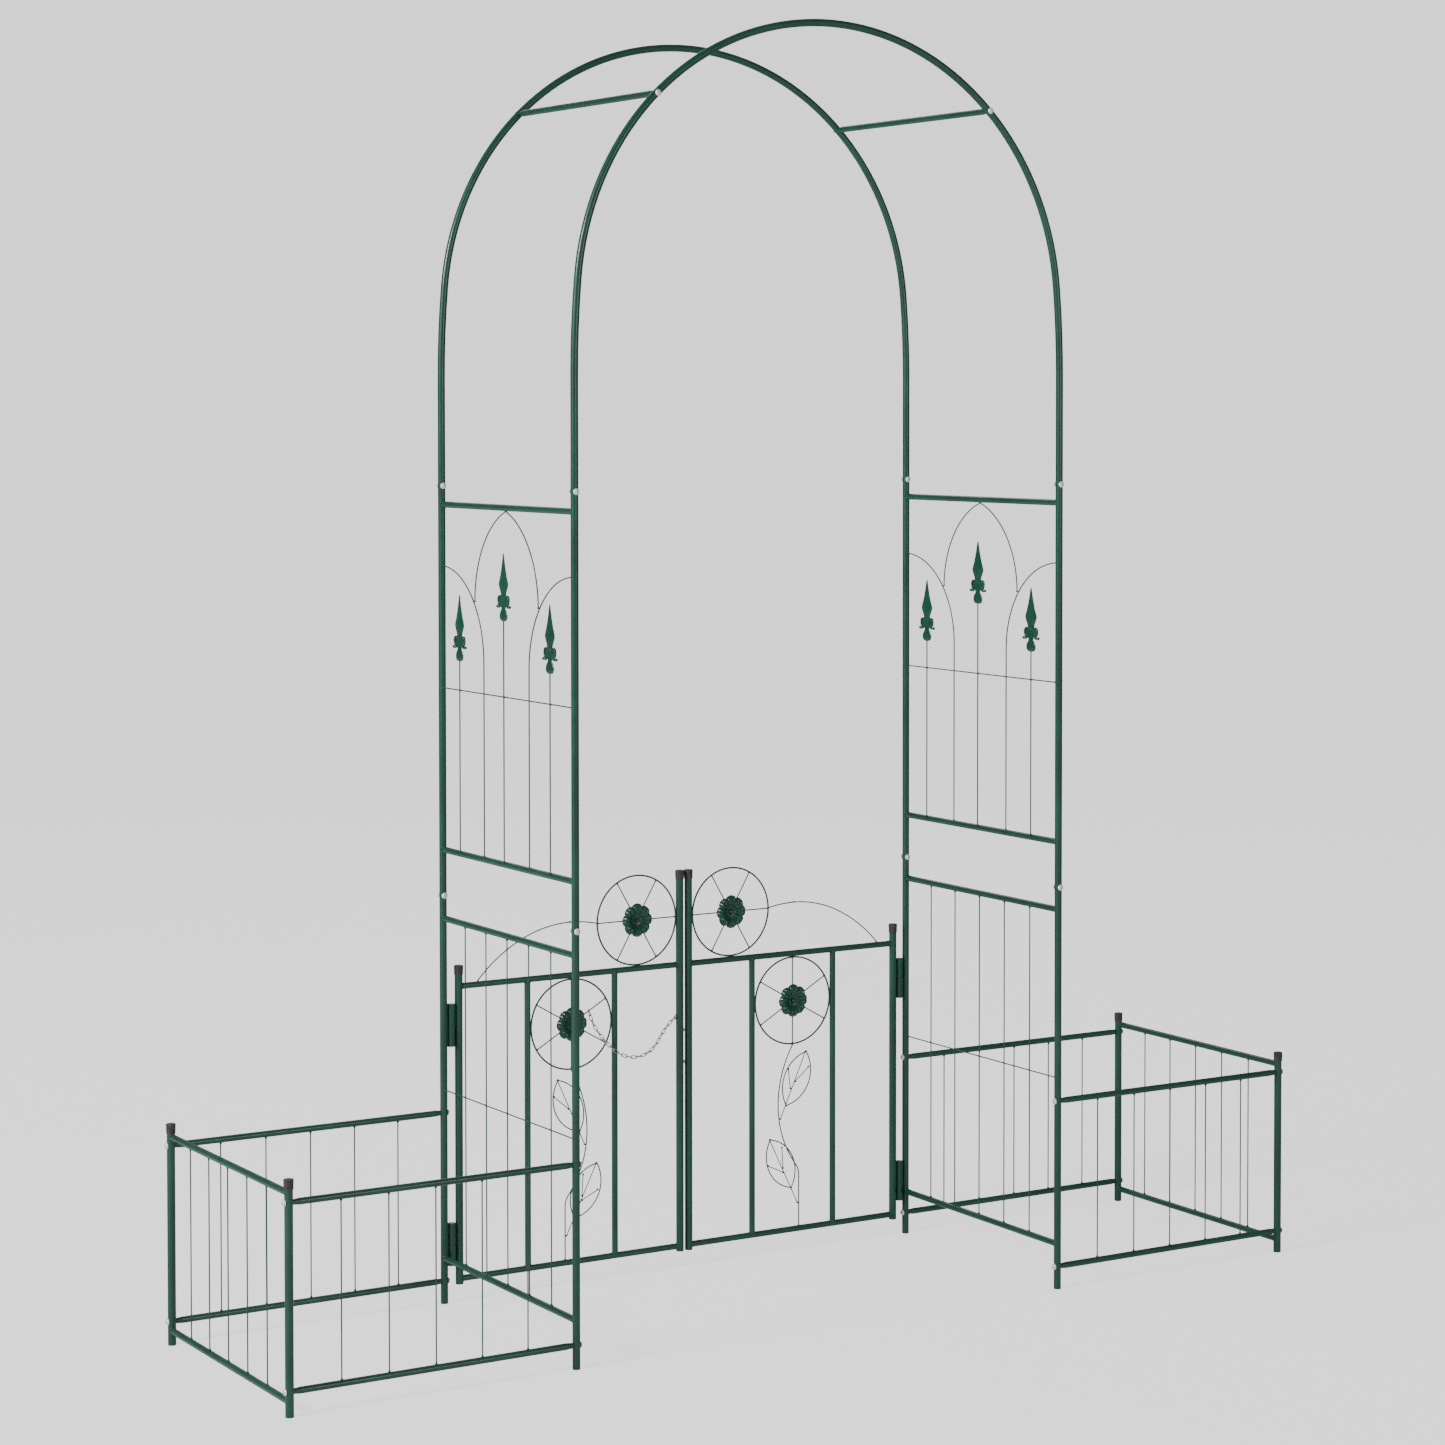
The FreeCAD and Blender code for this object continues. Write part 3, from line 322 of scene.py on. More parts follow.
def plated(name, tone, roughness, tarnish, metallic):
    """Plated or bare metal. A passivated coat is less metallic than bare steel."""
    material, tree, shader = new_material(name)
    metal = use(tree, "metal", {"Color": (*tone, 1), "Roughness": roughness, "Tarnish": (*tarnish, 1)})
    fill(tree, shader, {"Base Color": metal["Color"], "Roughness": metal["Roughness"], "Metallic": metallic})
    bumped(tree, shader, metal["Height"], 0.15, 0.0001)
    return material


def moulded(name, settings):
    """Black plastic with a fine moulded grain."""
    material, tree, shader = new_material(name)
    place = add(tree, "ShaderNodeTexCoord").outputs["Object"]
    pale = tuple(min(1, part * 1.9) for part in settings.plastic)
    cloud = spread(tree, clouds(tree, place, 120.0), 0.35, 0.7)
    tone = mix(tree, cloud, (*settings.plastic, 1), (*pale, 1))
    dusted = use(tree, "dust", {"Color": tone, "Dust": (*settings.dust, 1), "Amount": 0.25})
    grain = clouds(tree, place, 1500.0, 2.0)
    rough = spread(tree, grain, 0.3, 0.7, 0.45, 0.6)
    fill(tree, shader, {"Base Color": dusted["Color"], "Roughness": rough})
    bumped(tree, shader, grain, 0.35, 0.0002)
    return material


MAKERS = {
    "green_coat": lambda s: painted("green_coat", s, s.gloss, s.peel, 0.0, 0.12),
    # The casting's last argument, 1.0, paints shade into its creases and hollows.
    "green_casting": lambda s: painted("green_casting", s, s.gloss + 0.14, s.peel * 1.5, 0.35, 0.2, 1.0),
    "green_weld": lambda s: painted("green_weld", s, s.gloss - 0.05, s.peel, 0.3, 0.6),
    "bright_zinc": lambda s: plated("bright_zinc", s.zinc, 0.34, (0.70, 0.71, 0.70), 0.35),
    "chain_steel": lambda s: plated("chain_steel", s.chain, 0.30, (0.24, 0.22, 0.20), 0.9),
    "cap_grain": lambda s: moulded("cap_grain", s),
}


def material_for(name):
    if name not in bpy.data.materials:
        MAKERS[name](bpy.context.scene.garden_arch.paint)
    return bpy.data.materials[name]


# Where things are ------------------------------------------------------------------------------

def solids(node):
    """The corner points of each separate solid of a CAD node."""
    mesh = bmesh.new()
    mesh.from_mesh(NODES[node].data)
    bmesh.ops.remove_doubles(mesh, verts=mesh.verts, dist=SAME_POINT)
    # A dict keeps the mesh's own order, so every run adds the points up alike.
    waiting, found = dict.fromkeys(mesh.verts), []
    while waiting:
        seed = next(iter(waiting))
        del waiting[seed]
        group, edge = [seed], [seed]
        while edge:
            for link in edge.pop().link_edges:
                for vertex in link.verts:
                    if vertex in waiting:
                        del waiting[vertex]
                        group.append(vertex)
                        edge.append(vertex)
        found.append([vertex.co.copy() for vertex in group])
    mesh.free()
    return sorted(found, key=lambda points: tuple(round(part, 4) for part in points_box(points)[0]))


def points_box(points):
    low = Vector(min(p[axis] for p in points) for axis in range(3))
    high = Vector(max(p[axis] for p in points) for axis in range(3))
    return low, high


def boxes(node):
    return [points_box(points) for points in solids(node)]


def middle(node):
    low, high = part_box(node)
    return (low + high) / 2


def tips(node):
    """The lowest and highest point of each wire of a node."""
    spots = []
    for points in solids(node):
        low, high = points_box(points)
        for level in (low.z, high.z):
            near = [p for p in points if abs(p.z - level) < WIRE_END]
            spots.append(sum(near, Vector()) / len(near))
    return spots


# Making pieces ---------------------------------------------------------------------------------

def finish_piece(mesh, name, body, material, replaced=()):
    """A finished mesh becomes a piece that rides on a body."""
    piece = bpy.data.objects.new(name, mesh)
    bpy.context.scene.collection.objects.link(piece)
    if not mesh.materials:
        mesh.materials.append(material_for(material))
    mesh.shade_smooth()
    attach(piece, body)
    if replaced:
        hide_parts(*replaced)
    return piece


def grow(name, tree, spots, sizes, body, material, replaced=()):
    """Runs a geometry tree on spots, each a place and a turn, and keeps the plain mesh."""
    points = bpy.data.meshes.new(name + "_spots")
    points.from_pydata([place for place, _ in spots], [], [])
    turns = points.attributes.new("turn", "FLOAT_VECTOR", "POINT")
    turns.data.foreach_set("vector", [part for _, turn in spots for part in turn])
    carrier = bpy.data.objects.new(name + "_carrier", points)
    bpy.context.scene.collection.objects.link(carrier)
    modifier = carrier.modifiers.new("grow", "NODES")
    modifier.node_group = tree
    values = {**sizes, "Material": material_for(material)}
    for socket in tree.interface.items_tree:
        if socket.in_out == "INPUT" and socket.name in values:
            modifier[socket.identifier] = values[socket.name]
    carrier.update_tag()
    seen = carrier.evaluated_get(bpy.context.evaluated_depsgraph_get())
    mesh = bpy.data.meshes.new_from_object(seen)
    mesh.name = name
    bpy.data.objects.remove(carrier)
    bpy.data.meshes.remove(points)
    if not mesh.polygons:
        raise RuntimeError(f"{name} grew no faces")
    return finish_piece(mesh, name, body, material, replaced)


def place_tree(name, sizes, shape, wave=0.0):
    """A tree that sets a shape on each spot with the spot's own turn."""
    inputs = [("Geometry", "Geometry"), ("Material", "Material")] + [(size, "Float") for size in sizes]
    tree, given, out = open_tree(name, "GeometryNodeTree", inputs, [("Geometry", "Geometry")])
    turn = add(tree, "GeometryNodeInputNamedAttribute", {0: "turn"}, data_type="FLOAT_VECTOR").outputs[0]
    rotation = add(tree, "FunctionNodeEulerToRotation", {0: turn}).outputs[0]
    item = shape(tree, given)
    placed = add(tree, "GeometryNodeInstanceOnPoints",
                 {"Points": given["Geometry"], "Instance": item, "Rotation": rotation}).outputs[0]
    real = add(tree, "GeometryNodeRealizeInstances", {0: placed}).outputs[0]
    if wave:
        lump = add(tree, "ShaderNodeTexNoise", {"Scale": LUMP_SCALE, "Detail": 1.0}).outputs[1]
        centred = maths(tree, "SUBTRACT", lump, (0.5, 0.5, 0.5), kind="ShaderNodeVectorMath")
        offset = add(tree, "ShaderNodeVectorMath", {0: centred, "Scale": wave}, operation="SCALE").outputs[0]
        real = add(tree, "GeometryNodeSetPosition", {"Geometry": real, "Offset": offset}).outputs[0]
    dressed = add(tree, "GeometryNodeSetMaterial", {"Geometry": real, "Material": given["Material"]})
    tree.links.new(dressed.outputs[0], out.inputs[0])
    return tree


def circle(tree, points, radius):
    inputs = {"Resolution": points, "Radius": radius}
    return add(tree, "GeometryNodeCurvePrimitiveCircle", inputs).outputs[0]


def flare_shape(tree, given):
    """A small cone that climbs a rod from the rail that it is welded to."""
    return add(tree, "GeometryNodeMeshCone",
               {"Vertices": FLARE_SIDES, "Radius Top": given["Rod"], "Radius Bottom": given["Spread"],
                "Depth": given["Height"]}, fill_type="NGON").outputs["Mesh"]


def spot_shape(tree, given):
    return add(tree, "GeometryNodeMeshIcoSphere", {"Radius": given["Radius"], "Subdivisions": 2}).outputs[0]


def bead_shape(tree, given):
    """A bead round the end of a rail along +X, where it meets an upright on the Z axis."""
    ring = circle(tree, BEAD_STEPS, given["Rail"])
    place = add(tree, "GeometryNodeInputPosition").outputs[0]
    parts = add(tree, "ShaderNodeSeparateXYZ", {0: place}).outputs
    square = maths(tree, "MULTIPLY", parts[0], parts[0])
    deep = maths(tree, "SUBTRACT", maths(tree, "MULTIPLY", given["Upright"], given["Upright"]), square)
    reach = maths(tree, "SQRT", maths(tree, "MAXIMUM", deep, 0.0))
    laid = add(tree, "ShaderNodeCombineXYZ", {0: reach, 1: parts[0], 2: parts[1]}).outputs[0]
    saddle = add(tree, "GeometryNodeSetPosition", {"Geometry": ring, "Position": laid}).outputs[0]
    section = circle(tree, BEAD_SIDES, given["Bead"])
    return add(tree, "GeometryNodeCurveToMesh", {"Curve": saddle, "Profile Curve": section}).outputs[0]


def link_shape(tree, given):
    """An oval link along X with its width along Y."""
    half = maths(tree, "MULTIPLY", maths(tree, "SUBTRACT", given["Width"], given["Wire"]), 0.5)
    ring = circle(tree, LINK_STEPS, half)
    place = add(tree, "GeometryNodeInputPosition").outputs[0]
    along = add(tree, "ShaderNodeSeparateXYZ", {0: place}).outputs[0]
    sign = maths(tree, "SIGN", along)
    stretch = maths(tree, "MULTIPLY", sign, given["Straight"])
    offset = add(tree, "ShaderNodeCombineXYZ", {0: stretch}).outputs[0]
    oval = add(tree, "GeometryNodeSetPosition", {"Geometry": ring, "Offset": offset}).outputs[0]
    wire = maths(tree, "MULTIPLY", given["Wire"], 0.5)
    section = circle(tree, LINK_SIDES, wire)
    return add(tree, "GeometryNodeCurveToMesh", {"Curve": oval, "Profile Curve": section}).outputs[0]


# Pieces ----------------------------------------------------------------------------------------

UP, DOWN = (0, 0, 0), (math.pi, 0, 0)
FORWARD, BACKWARD = (-math.pi / 2, 0, 0), (math.pi / 2, 0, 0)


def upright_flares(node, top=True):
    """Weld spots at the ends of a node's upright rods."""
    spots = []
    for low, high in boxes(node):
        centre = (low + high) / 2
        spots.append((Vector((centre.x, centre.y, low.z)), UP))
        if top:
            spots.append((Vector((centre.x, centre.y, high.z)), DOWN))
    return spots


def tie_flares():
    spots = []
    for low, high in boxes("tie_rods"):
        centre = (low + high) / 2
        spots.append((Vector((centre.x, low.y, centre.z)), FORWARD))
        spots.append((Vector((centre.x, high.y, centre.z)), BACKWARD))
    return spots


def crossings():
    """Where the tie rods touch the panels' upright rods."""
    ties = boxes("tie_rods")
    rods = [box for node in ("lower_uprights", "left_spear_rods", "right_spear_rods") for box in boxes(node)]
    spots = []
    for tie_low, tie_high in ties:
        tie = (tie_low + tie_high) / 2
        for low, high in rods:
            rod = (low + high) / 2
            if low.z < tie.z < high.z and abs(rod.x - tie.x) < MEETING:
                spots.append((Vector(((rod.x + tie.x) / 2, rod.y, tie.z)), UP))
    return spots


def rail_beads(rails, uprights):
    """Bead spots at both ends of level rails, on the uprights' axes."""
    spots = []
    for low, high in boxes(rails):
        size, centre = high - low, (low + high) / 2
        across = 0 if size.x > size.y else 1
        for upright in uprights:
            near = abs(upright[1 - across] - centre[1 - across]) < MEETING
            ends = min(abs(upright[across] - low[across]), abs(upright[across] - high[across]))
            if near and ends < MEETING:
                way = math.copysign(1, centre[across] - upright[across])
                turn = (0, 0, (0 if way > 0 else math.pi) if across == 0 else way * math.pi / 2)
                spots.append((Vector((upright.x, upright.y, centre.z)), turn))
    return spots


class ARCH_OT_paint(bpy.types.Operator):
    """Puts a finish on every piece that comes from the frame"""
    bl_idname = "garden_arch.paint"
    bl_label = "Paint frame"

    def execute(self, context):
        for name, node in NODES.items():
            finish = "bright_zinc" if name in PLATED else "cap_grain" if name in CAPPED else "green_coat"
            node.data.materials.clear()
            node.data.materials.append(material_for(finish))
        return {"FINISHED"}


class ARCH_OT_rod_welds(bpy.types.Operator):
    """Welds the thin rods to the rails, legs and wires"""
    bl_idname = "garden_arch.rod_welds"
    bl_label = "Rod welds"

    def execute(self, context):
        welds = context.scene.garden_arch.welds
        flare = place_tree("rod_flare", ("Rod", "Spread", "Height"), flare_shape)
        sizes = {"Rod": welds.rod_radius, "Spread": welds.flare_spread, "Height": welds.flare_height}
        flares = upright_flares("lower_uprights") + tie_flares()
        for side in SIDES:
            flares += upright_flares(f"{side}_planter_uprights")
            flares += upright_flares(f"{side}_spear_rods", top=False)
        grow("frame_rod_welds", flare, flares, sizes, FRAME, "green_weld")
        spot = place_tree("weld_spot", ("Radius",), spot_shape, wave=SPOT_LUMPS)
        marks = crossings()
        for side in SIDES:
            marks += [(place, UP) for place in tips(f"{side}_panel_arches")]
        grow("frame_weld_spots", spot, marks, {"Radius": welds.spot}, FRAME, "green_weld")
        for side in SIDES:
            marks = [(place, UP) for node in ("vine", "scroll") for place in tips(f"{side}_{node}")]
            marks += [(place, UP) for place in spoke_ends(side)]
            grow(f"{side}_leaf_weld_spots", spot, marks, {"Radius": welds.spot}, LEAF[side], "green_weld")
        return {"FINISHED"}


def spoke_ends(side):
    """Where the spokes of a leaf's wheels meet their rims."""
    wheels, spokes = [], []
    for low, high in boxes(f"{side}_flower_wheels"):
        size = high - low
        (wheels if min(size.x, size.z) > LEAST_WHEEL else spokes).append((low, high))
    ends = []
    for low, high in wheels:
        hub, radius = (low + high) / 2, (high.x - low.x) / 2 - RIM_WIRE
        for spoke_low, spoke_high in spokes:
            arm = (spoke_low + spoke_high) / 2 - hub
            if arm.length < radius:
                ends.append(hub + arm.normalized() * radius)
    return ends


class ARCH_OT_rail_welds(bpy.types.Operator):
    """Welds the rails to the legs and posts, and the gate's bars to its rails"""
    bl_idname = "garden_arch.rail_welds"
    bl_label = "Rail welds"

    def execute(self, context):
        bead = context.scene.garden_arch.welds.bead
        tree = place_tree("rail_bead", ("Rail", "Upright", "Bead"), bead_shape, wave=BEAD_LUMPS)
        legs = [middle(f"lower_leg_{side}_{end}") for side in SIDES for end in ENDS]
        for side in SIDES:
            posts = [(low + high) / 2 for low, high in boxes(f"{side}_planter_posts")]
            leg_size, post_size = radius_of(f"lower_leg_{side}_front"), radius_of(f"{side}_hinge_post")
            rail_size = radius_of(f"{side}_panel_rails")
            sizes = {"Rail": rail_size, "Bead": bead}
            grow(f"{side}_panel_rail_welds", tree, rail_beads(f"{side}_panel_rails", legs),
                 {**sizes, "Upright": leg_size}, FRAME, "green_weld")
            grow(f"{side}_planter_rail_welds", tree, rail_beads(f"{side}_planter_end_rails", posts),
                 {**sizes, "Upright": post_size}, FRAME, "green_weld")
            stiles = [middle(f"{side}_hinge_post"), middle(f"{side}_meeting_post")]
            grow(f"{side}_gate_rail_welds", tree, rail_beads(f"{side}_gate_rails", stiles),
                 {**sizes, "Upright": post_size}, LEAF[side], "green_weld")
            grow(f"{side}_gate_bar_welds", tree, bar_beads(side), {**sizes, "Upright": rail_size},
                 LEAF[side], "green_weld")
        return {"FINISHED"}


def radius_of(node):
    """The radius of the first tube in a node."""
    low, high = boxes(node)[0]
    return min(high - low) / 2


def bar_beads(side):
    spots = []
    rails = [(low + high) / 2 for low, high in boxes(f"{side}_gate_rails")]
    for low, high in boxes(f"{side}_gate_bars"):
        centre = (low + high) / 2
        for rail in rails:
            turn = -math.pi / 2 if rail.z < centre.z else math.pi / 2
            spots.append((Vector((centre.x, centre.y, rail.z)), (0, turn, 0)))
    return spots


class ARCH_OT_rosettes(bpy.types.Operator):
    """Makes the cupped flowers in the middle of the gate's wheels"""
    bl_idname = "garden_arch.rosettes"
    bl_label = "Rosettes"

    def execute(self, context):
        for side in SIDES:
            mesh = bmesh.new()
            for low, high in boxes(f"{side}_rosettes"):
                add_rosette(mesh, context.scene.garden_arch.castings, low, high)
            save_casting(mesh, f"{side}_rosette_flowers", LEAF[side], f"{side}_rosettes")
        return {"FINISHED"}


def save_casting(mesh, name, body, replaced):
    bmesh.ops.recalc_face_normals(mesh, faces=mesh.faces)
    data = bpy.data.meshes.new(name)
    mesh.to_mesh(data)
    mesh.free()
    finish_piece(data, name, body, "green_casting", (replaced,))


def ring_of(mesh, points):
    return [mesh.verts.new(point) for point in points]


def bridge(mesh, rings, closed_start, closed_end):
    """Quads between neighbouring rings, and fans at the ends."""
    count = len(rings[0])
    for near, far in zip(rings, rings[1:]):
        for step in range(count):
            after = (step + 1) % count
            mesh.faces.new((near[step], near[after], far[after], far[step]))
    for ring, place in ((rings[0], closed_start), (rings[-1], closed_end)):
        hub = mesh.verts.new(place)
        for step in range(count):
            mesh.faces.new((ring[step], ring[(step + 1) % count], hub))


def ease(low, high, part):
    """A smooth step from 0 at low to 1 at high."""
    part = min(1.0, max(0.0, (part - low) / (high - low)))
    return part * part * (3 - 2 * part)


# A rosette's hollow and its rolled rim, as shares of its depth. Then how finely it is stepped round
# each petal and out from its hub, and the least metal left behind it.
CUP_FLOOR, CUP_ROLL = 0.16, 0.75
PETAL_STEPS, REACH_STEP, LEAST_METAL = 20, 0.04, 0.1 * MM


def cup_height(reach, lobe, rib, settings, depth):
    """How far a rosette's face stands forward, from its hub at reach 0 to its rim at 1."""
    bowl = CUP_FLOOR + (1 - CUP_FLOOR) * ease(0.20, 0.72, reach) - CUP_ROLL * ease(0.84, 1.0, reach)
    relief = ease(0.20, 0.45, reach) * (0.35 * (1 - lobe) + 0.65 * (1 - rib))
    return depth * bowl - settings.crease * relief


def add_rosette(mesh, settings, low, high):
    """One flower, its face towards -Y, as a closed shell."""
    centre, radius, depth = (low + high) / 2, (high.x - low.x) / 2, high.y - low.y
    turns, reaches = PETAL_STEPS * settings.petals, [REACH_STEP * step for step in range(2, 26)]
    faces = {"front": [], "back": []}
    for reach in reaches:
        rows = {"front": [], "back": []}
        for step in range(turns):
            angle = step / turns * math.tau
            lobe = abs(math.cos(settings.petals * angle / 2)) ** 0.6
            rib = abs(math.sin(settings.petals * angle)) ** 0.7
            out = radius * reach * (1 - settings.notch * reach ** 3 * (1 - lobe))
            stand = cup_height(reach, lobe, rib, settings, depth)
            for face, height in (("front", stand), ("back", stand - settings.shell)):
                height = min(max(height, LEAST_METAL if face == "back" else 2 * LEAST_METAL), depth)
                rows[face].append((centre.x + out * math.cos(angle), high.y - height,
                                   centre.z + out * math.sin(angle)))
        for face, row in rows.items():
            faces[face].append(ring_of(mesh, row))
    hub_front = high.y - CUP_FLOOR * depth
    rings = faces["front"][::-1] + faces["back"]
    bridge(mesh, rings, (centre.x, hub_front, centre.z), (centre.x, high.y - LEAST_METAL, centre.z))
    boss_place = Matrix.Translation((centre.x, hub_front - settings.boss / 3, centre.z))
    bmesh.ops.create_icosphere(mesh, subdivisions=3, radius=settings.boss, matrix=boss_place)


class ARCH_OT_spearheads(bpy.types.Operator):
    """Makes the cast spearheads of the side panels"""
    bl_idname = "garden_arch.spearheads"
    bl_label = "Spearheads"

    def execute(self, context):
        for side in SIDES:
            mesh = bmesh.new()
            for low, high in boxes(f"{side}_spearheads"):
                add_spearhead(mesh, low, high)
            save_casting(mesh, f"{side}_spear_castings", FRAME, f"{side}_spearheads")
        return {"FINISHED"}


# Half width, height from the foot and half thickness of a spearhead, as shares of its box.
SPEAR_ROWS = (
    (0.08, 0.000, 0.40), (0.36, 0.010, 0.80), (0.50, 0.030, 0.95), (0.565, 0.068, 1.0), (0.54, 0.105, 1.0),
    (0.44, 0.143, 0.90), (0.32, 0.173, 0.75), (0.28, 0.195, 0.65), (0.36, 0.222, 0.60), (0.66, 0.245, 0.50),
    (0.74, 0.285, 0.45), (0.74, 0.325, 0.45), (0.60, 0.350, 0.50), (0.44, 0.368, 0.65), (0.40, 0.392, 0.80),
    (0.44, 0.425, 0.90), (0.56, 0.469, 1.0), (0.66, 0.510, 1.0), (0.70, 0.540, 1.0), (0.67, 0.572, 0.95),
    (0.51, 0.650, 0.80), (0.38, 0.730, 0.65), (0.25, 0.825, 0.50), (0.15, 0.915, 0.38), (0.07, 0.995, 0.25))
BLADE_FOOT = 0.39

# The middle line of a spearhead's scroll, out and up as shares of its box, then its thickness.
SCROLL_LINE = ((0.40, 0.366, 0.010), (0.56, 0.372, 0.012), (0.71, 0.350, 0.014), (0.74, 0.300, 0.014),
               (0.66, 0.250, 0.013), (0.50, 0.222, 0.013), (0.62, 0.206, 0.016), (0.88, 0.214, 0.018))
SCROLL_STEPS, SCROLL_SIDES, KNOB = 5, 8, 0.024


def add_spearhead(mesh, low, high):
    """A blade with a ridge down its middle, two scrolls and a bell at its foot."""
    centre, size = (low + high) / 2, high - low
    rings = []
    for wide, up, thick in SPEAR_ROWS:
        row = []
        for step in range(BLADE_SIDES):
            angle = step / BLADE_SIDES * math.tau
            across, through = math.cos(angle), math.sin(angle)
            if up > BLADE_FOOT:
                through = math.copysign(max(0.0, 1 - abs(across)) * 0.85 + 0.15 * abs(through), through)
            row.append((centre.x + size.x / 2 * thick * through, centre.y + size.y / 2 * wide * across,
                        low.z + size.z * up))
        rings.append(ring_of(mesh, row))
    bridge(mesh, rings, (centre.x, centre.y, low.z), (centre.x, centre.y, high.z))
    for way in (-1, 1):
        add_scroll(mesh, Vector((centre.x, centre.y, low.z)), size, way)


def smooth_line(points, steps):
    """Points on the smooth curve through the given ones."""
    points = [Vector(point) for point in points]
    ends = [2 * points[0] - points[1]] + points + [2 * points[-1] - points[-2]]
    line = []
    for before, start, end, after in zip(ends, ends[1:], ends[2:], ends[3:]):
        for step in range(steps):
            part = step / steps
            line.append(0.5 * (2 * start + (end - before) * part
                               + (2 * before - 5 * start + 4 * end - after) * part ** 2
                               + (3 * start - before - 3 * end + after) * part ** 3))
    return line + [points[-1]]


def add_scroll(mesh, foot, size, way):
    """A raised scroll round the side of a spearhead, which ends in a knob."""
    line = smooth_line(SCROLL_LINE, SCROLL_STEPS)
    spots = [foot + Vector((0, way * size.y / 2 * out, size.z * up)) for out, up, _ in line]
    rings = []
    for number, (spot, (_, _, thick)) in enumerate(zip(spots, line)):
        before, after = spots[max(0, number - 1)], spots[min(len(spots) - 1, number + 1)]
        beside = (after - before).normalized().cross(Vector((1, 0, 0)))
        through = Vector((size.x / 2, 0, 0))
        rings.append(ring_of(mesh, [
            spot + through * math.cos(turn) + size.z * thick * beside * math.sin(turn)
            for turn in (side / SCROLL_SIDES * math.tau for side in range(SCROLL_SIDES))]))
    bridge(mesh, rings, spots[0], spots[-1])
    bmesh.ops.create_icosphere(mesh, subdivisions=2, radius=size.z * KNOB,
                               matrix=Matrix.Translation(spots[-1]))


class ARCH_OT_chain(bpy.types.Operator):
    """Makes the latch chain, link by link"""
    bl_idname = "garden_arch.chain"
    bl_label = "Latch chain"

    def execute(self, context):
        settings = context.scene.garden_arch.chain
        parts = solids("latch_chain")
        centres = [sum(points_box(points), Vector()) / 2 for points in parts]
        longest = max(max((a - b).length for a in points[::7] for b in points[::7]) for points in parts)
        order = chain_order(centres)
        spots = []
        for number, index in enumerate(order):
            before, after = order[max(0, number - 1)], order[min(len(order) - 1, number + 1)]
            along = (centres[after] - centres[before]).normalized()
            across = Vector((0, 1, 0)) if number % 2 == 0 else along.cross(Vector((0, 1, 0)))
            across = (across - along * across.dot(along)).normalized()
            axes = Matrix((along, across, along.cross(across))).transposed()
            spots.append((centres[index], tuple(axes.to_euler())))
        straight = (longest - settings.width) / 2
        tree = place_tree("oval_link", ("Width", "Wire", "Straight"), link_shape)
        sizes = {"Width": settings.width, "Wire": settings.wire, "Straight": straight}
        grow("chain_links", tree, spots, sizes, LEAF["left"], "chain_steel", ("latch_chain",))
        return {"FINISHED"}


def chain_order(centres):
    """The links from the wheel to the post, each next to the one before."""
    left = set(range(len(centres)))
    order = [min(left, key=lambda index: centres[index].x)]
    left.discard(order[0])
    while left:
        last = centres[order[-1]]
        order.append(min(left, key=lambda index: (centres[index] - last).length))
        left.discard(order[-1])
    return order


class ARCH_OT_stage(bpy.types.Operator):
    """Sets up the camera, the floor and the lights"""
    bl_idname = "garden_arch.stage"
    bl_label = "Stage"

    def execute(self, context):
        settings = context.scene.garden_arch.stage
        make_camera(context, settings)
        make_floor(context, settings)
        make_lights(context, settings)
        return {"FINISHED"}


def make_camera(context, settings):
    data = bpy.data.cameras.new("camera")
    data.lens = settings.lens
    data.shift_x = settings.shift_x
    data.shift_y = settings.shift_y
    camera = bpy.data.objects.new("camera", data)
    camera.location = settings.eye
    camera.rotation_euler = Euler((math.pi / 2 - settings.tilt, 0, -settings.heading))
    context.scene.collection.objects.link(camera)
    context.scene.camera = camera


# The floor's cloudiness, how much of its light and shade shows, and the studio's three lights:
# place, width in metres and power in watts.
FLOOR_CLOUD, FLOOR_SHADE = 0.985, 0.5
LIGHTS = {
    "key": ((-8.0, -1.0, 4.6), 1.8, 690),
    "fill": ((1.5, -6.5, 2.4), 2.0, 95),
    "back": ((1.5, 5.0, 4.5), 3.0, 50),
}


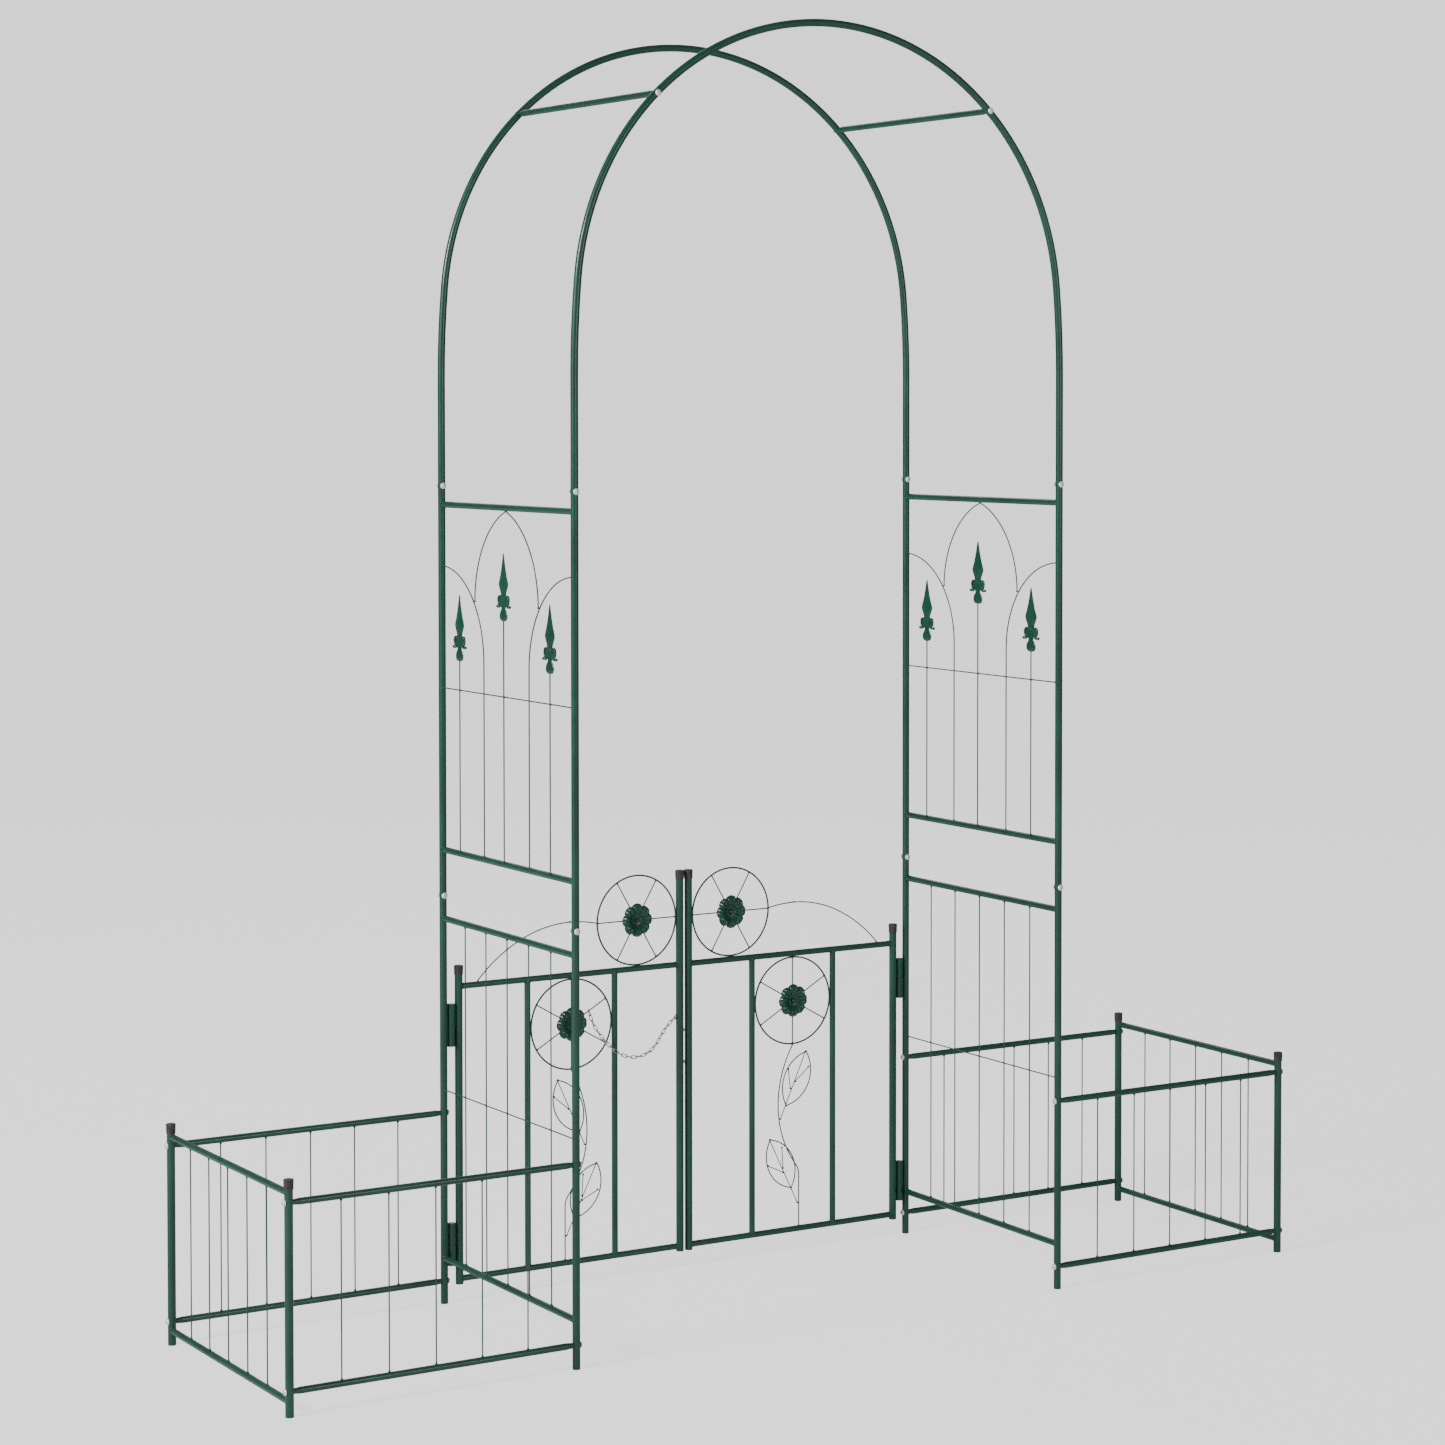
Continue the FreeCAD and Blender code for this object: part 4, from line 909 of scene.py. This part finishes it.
def make_floor(context, settings):
    mesh = bpy.data.meshes.new("floor")
    half = settings.floor_size / 2
    corners = [(-half, -half, 0), (half, -half, 0), (half, half, 0), (-half, half, 0)]
    mesh.from_pydata(corners, [], [(0, 1, 2, 3)])
    floor = bpy.data.objects.new("floor", mesh)
    context.scene.collection.objects.link(floor)
    material, tree, shader = new_material("pale_floor")
    place = add(tree, "ShaderNodeTexCoord").outputs["Object"]
    seen = add(tree, "ShaderNodeLightPath").outputs["Is Camera Ray"]
    cloudy = tuple(part * FLOOR_CLOUD for part in settings.floor)
    pale = mix(tree, clouds(tree, place, 3.0), (*settings.floor, 1), (*cloudy, 1))
    tone = mix(tree, seen, pale, (*(part * FLOOR_SHADE for part in settings.floor), 1))
    fill(tree, shader, {"Base Color": tone, "Roughness": 0.9, "Emission Color": (1, 1, 1, 1),
                        "Emission Strength": maths(tree, "MULTIPLY", seen, settings.floor_glow)})
    mesh.materials.append(material)


def make_lights(context, settings):
    world = bpy.data.worlds.new("pale_studio")
    world.use_nodes = True
    tree = world.node_tree
    seen = add(tree, "ShaderNodeLightPath").outputs["Is Camera Ray"]
    strength = spread(tree, seen, 0.0, 1.0, settings.ambient, settings.sky)
    fill(tree, tree.nodes["Background"], {"Color": (1, 1, 1, 1), "Strength": strength})
    context.scene.world = world
    for name, (place, width, power) in LIGHTS.items():
        data = bpy.data.lights.new(name, "AREA")
        data.size = width
        data.energy = power
        light = bpy.data.objects.new(name, data)
        light.location = place
        light.rotation_euler = (Vector((0, 0, 1.0)) - light.location).to_track_quat("-Z", "Y").to_euler()
        context.scene.collection.objects.link(light)


class ARCH_PT_panel(bpy.types.Panel):
    """The arch's settings and pieces, in the 3D view's sidebar"""
    bl_idname = "ARCH_PT_panel"
    bl_label = "Garden Arch"
    bl_space_type = "VIEW_3D"
    bl_region_type = "UI"
    bl_category = "Garden Arch"

    def draw(self, context):
        for name, settings in SETTINGS.items():
            section = self.layout.box()
            section.label(text=name.capitalize())
            group = getattr(context.scene.garden_arch, name)
            for field in settings.__annotations__:
                section.prop(group, field)
        for operator in OPERATORS:
            self.layout.operator(operator.bl_idname)


OPERATORS = (ARCH_OT_stage, ARCH_OT_paint, ARCH_OT_rod_welds, ARCH_OT_rail_welds, ARCH_OT_rosettes,
             ARCH_OT_spearheads, ARCH_OT_chain)
CLASSES = (*SETTINGS.values(), ArchSettings, *OPERATORS, ARCH_PT_panel)


def register():
    for item in CLASSES:
        bpy.utils.register_class(item)
    bpy.types.Scene.garden_arch = bpy.props.PointerProperty(type=ArchSettings)


def unregister():
    del bpy.types.Scene.garden_arch
    for item in reversed(CLASSES):
        bpy.utils.unregister_class(item)


def main():
    register()
    for operator in OPERATORS:
        family, name = operator.bl_idname.split(".")
        getattr(getattr(bpy.ops, family), name)()


if __name__ == "__main__":
    main()
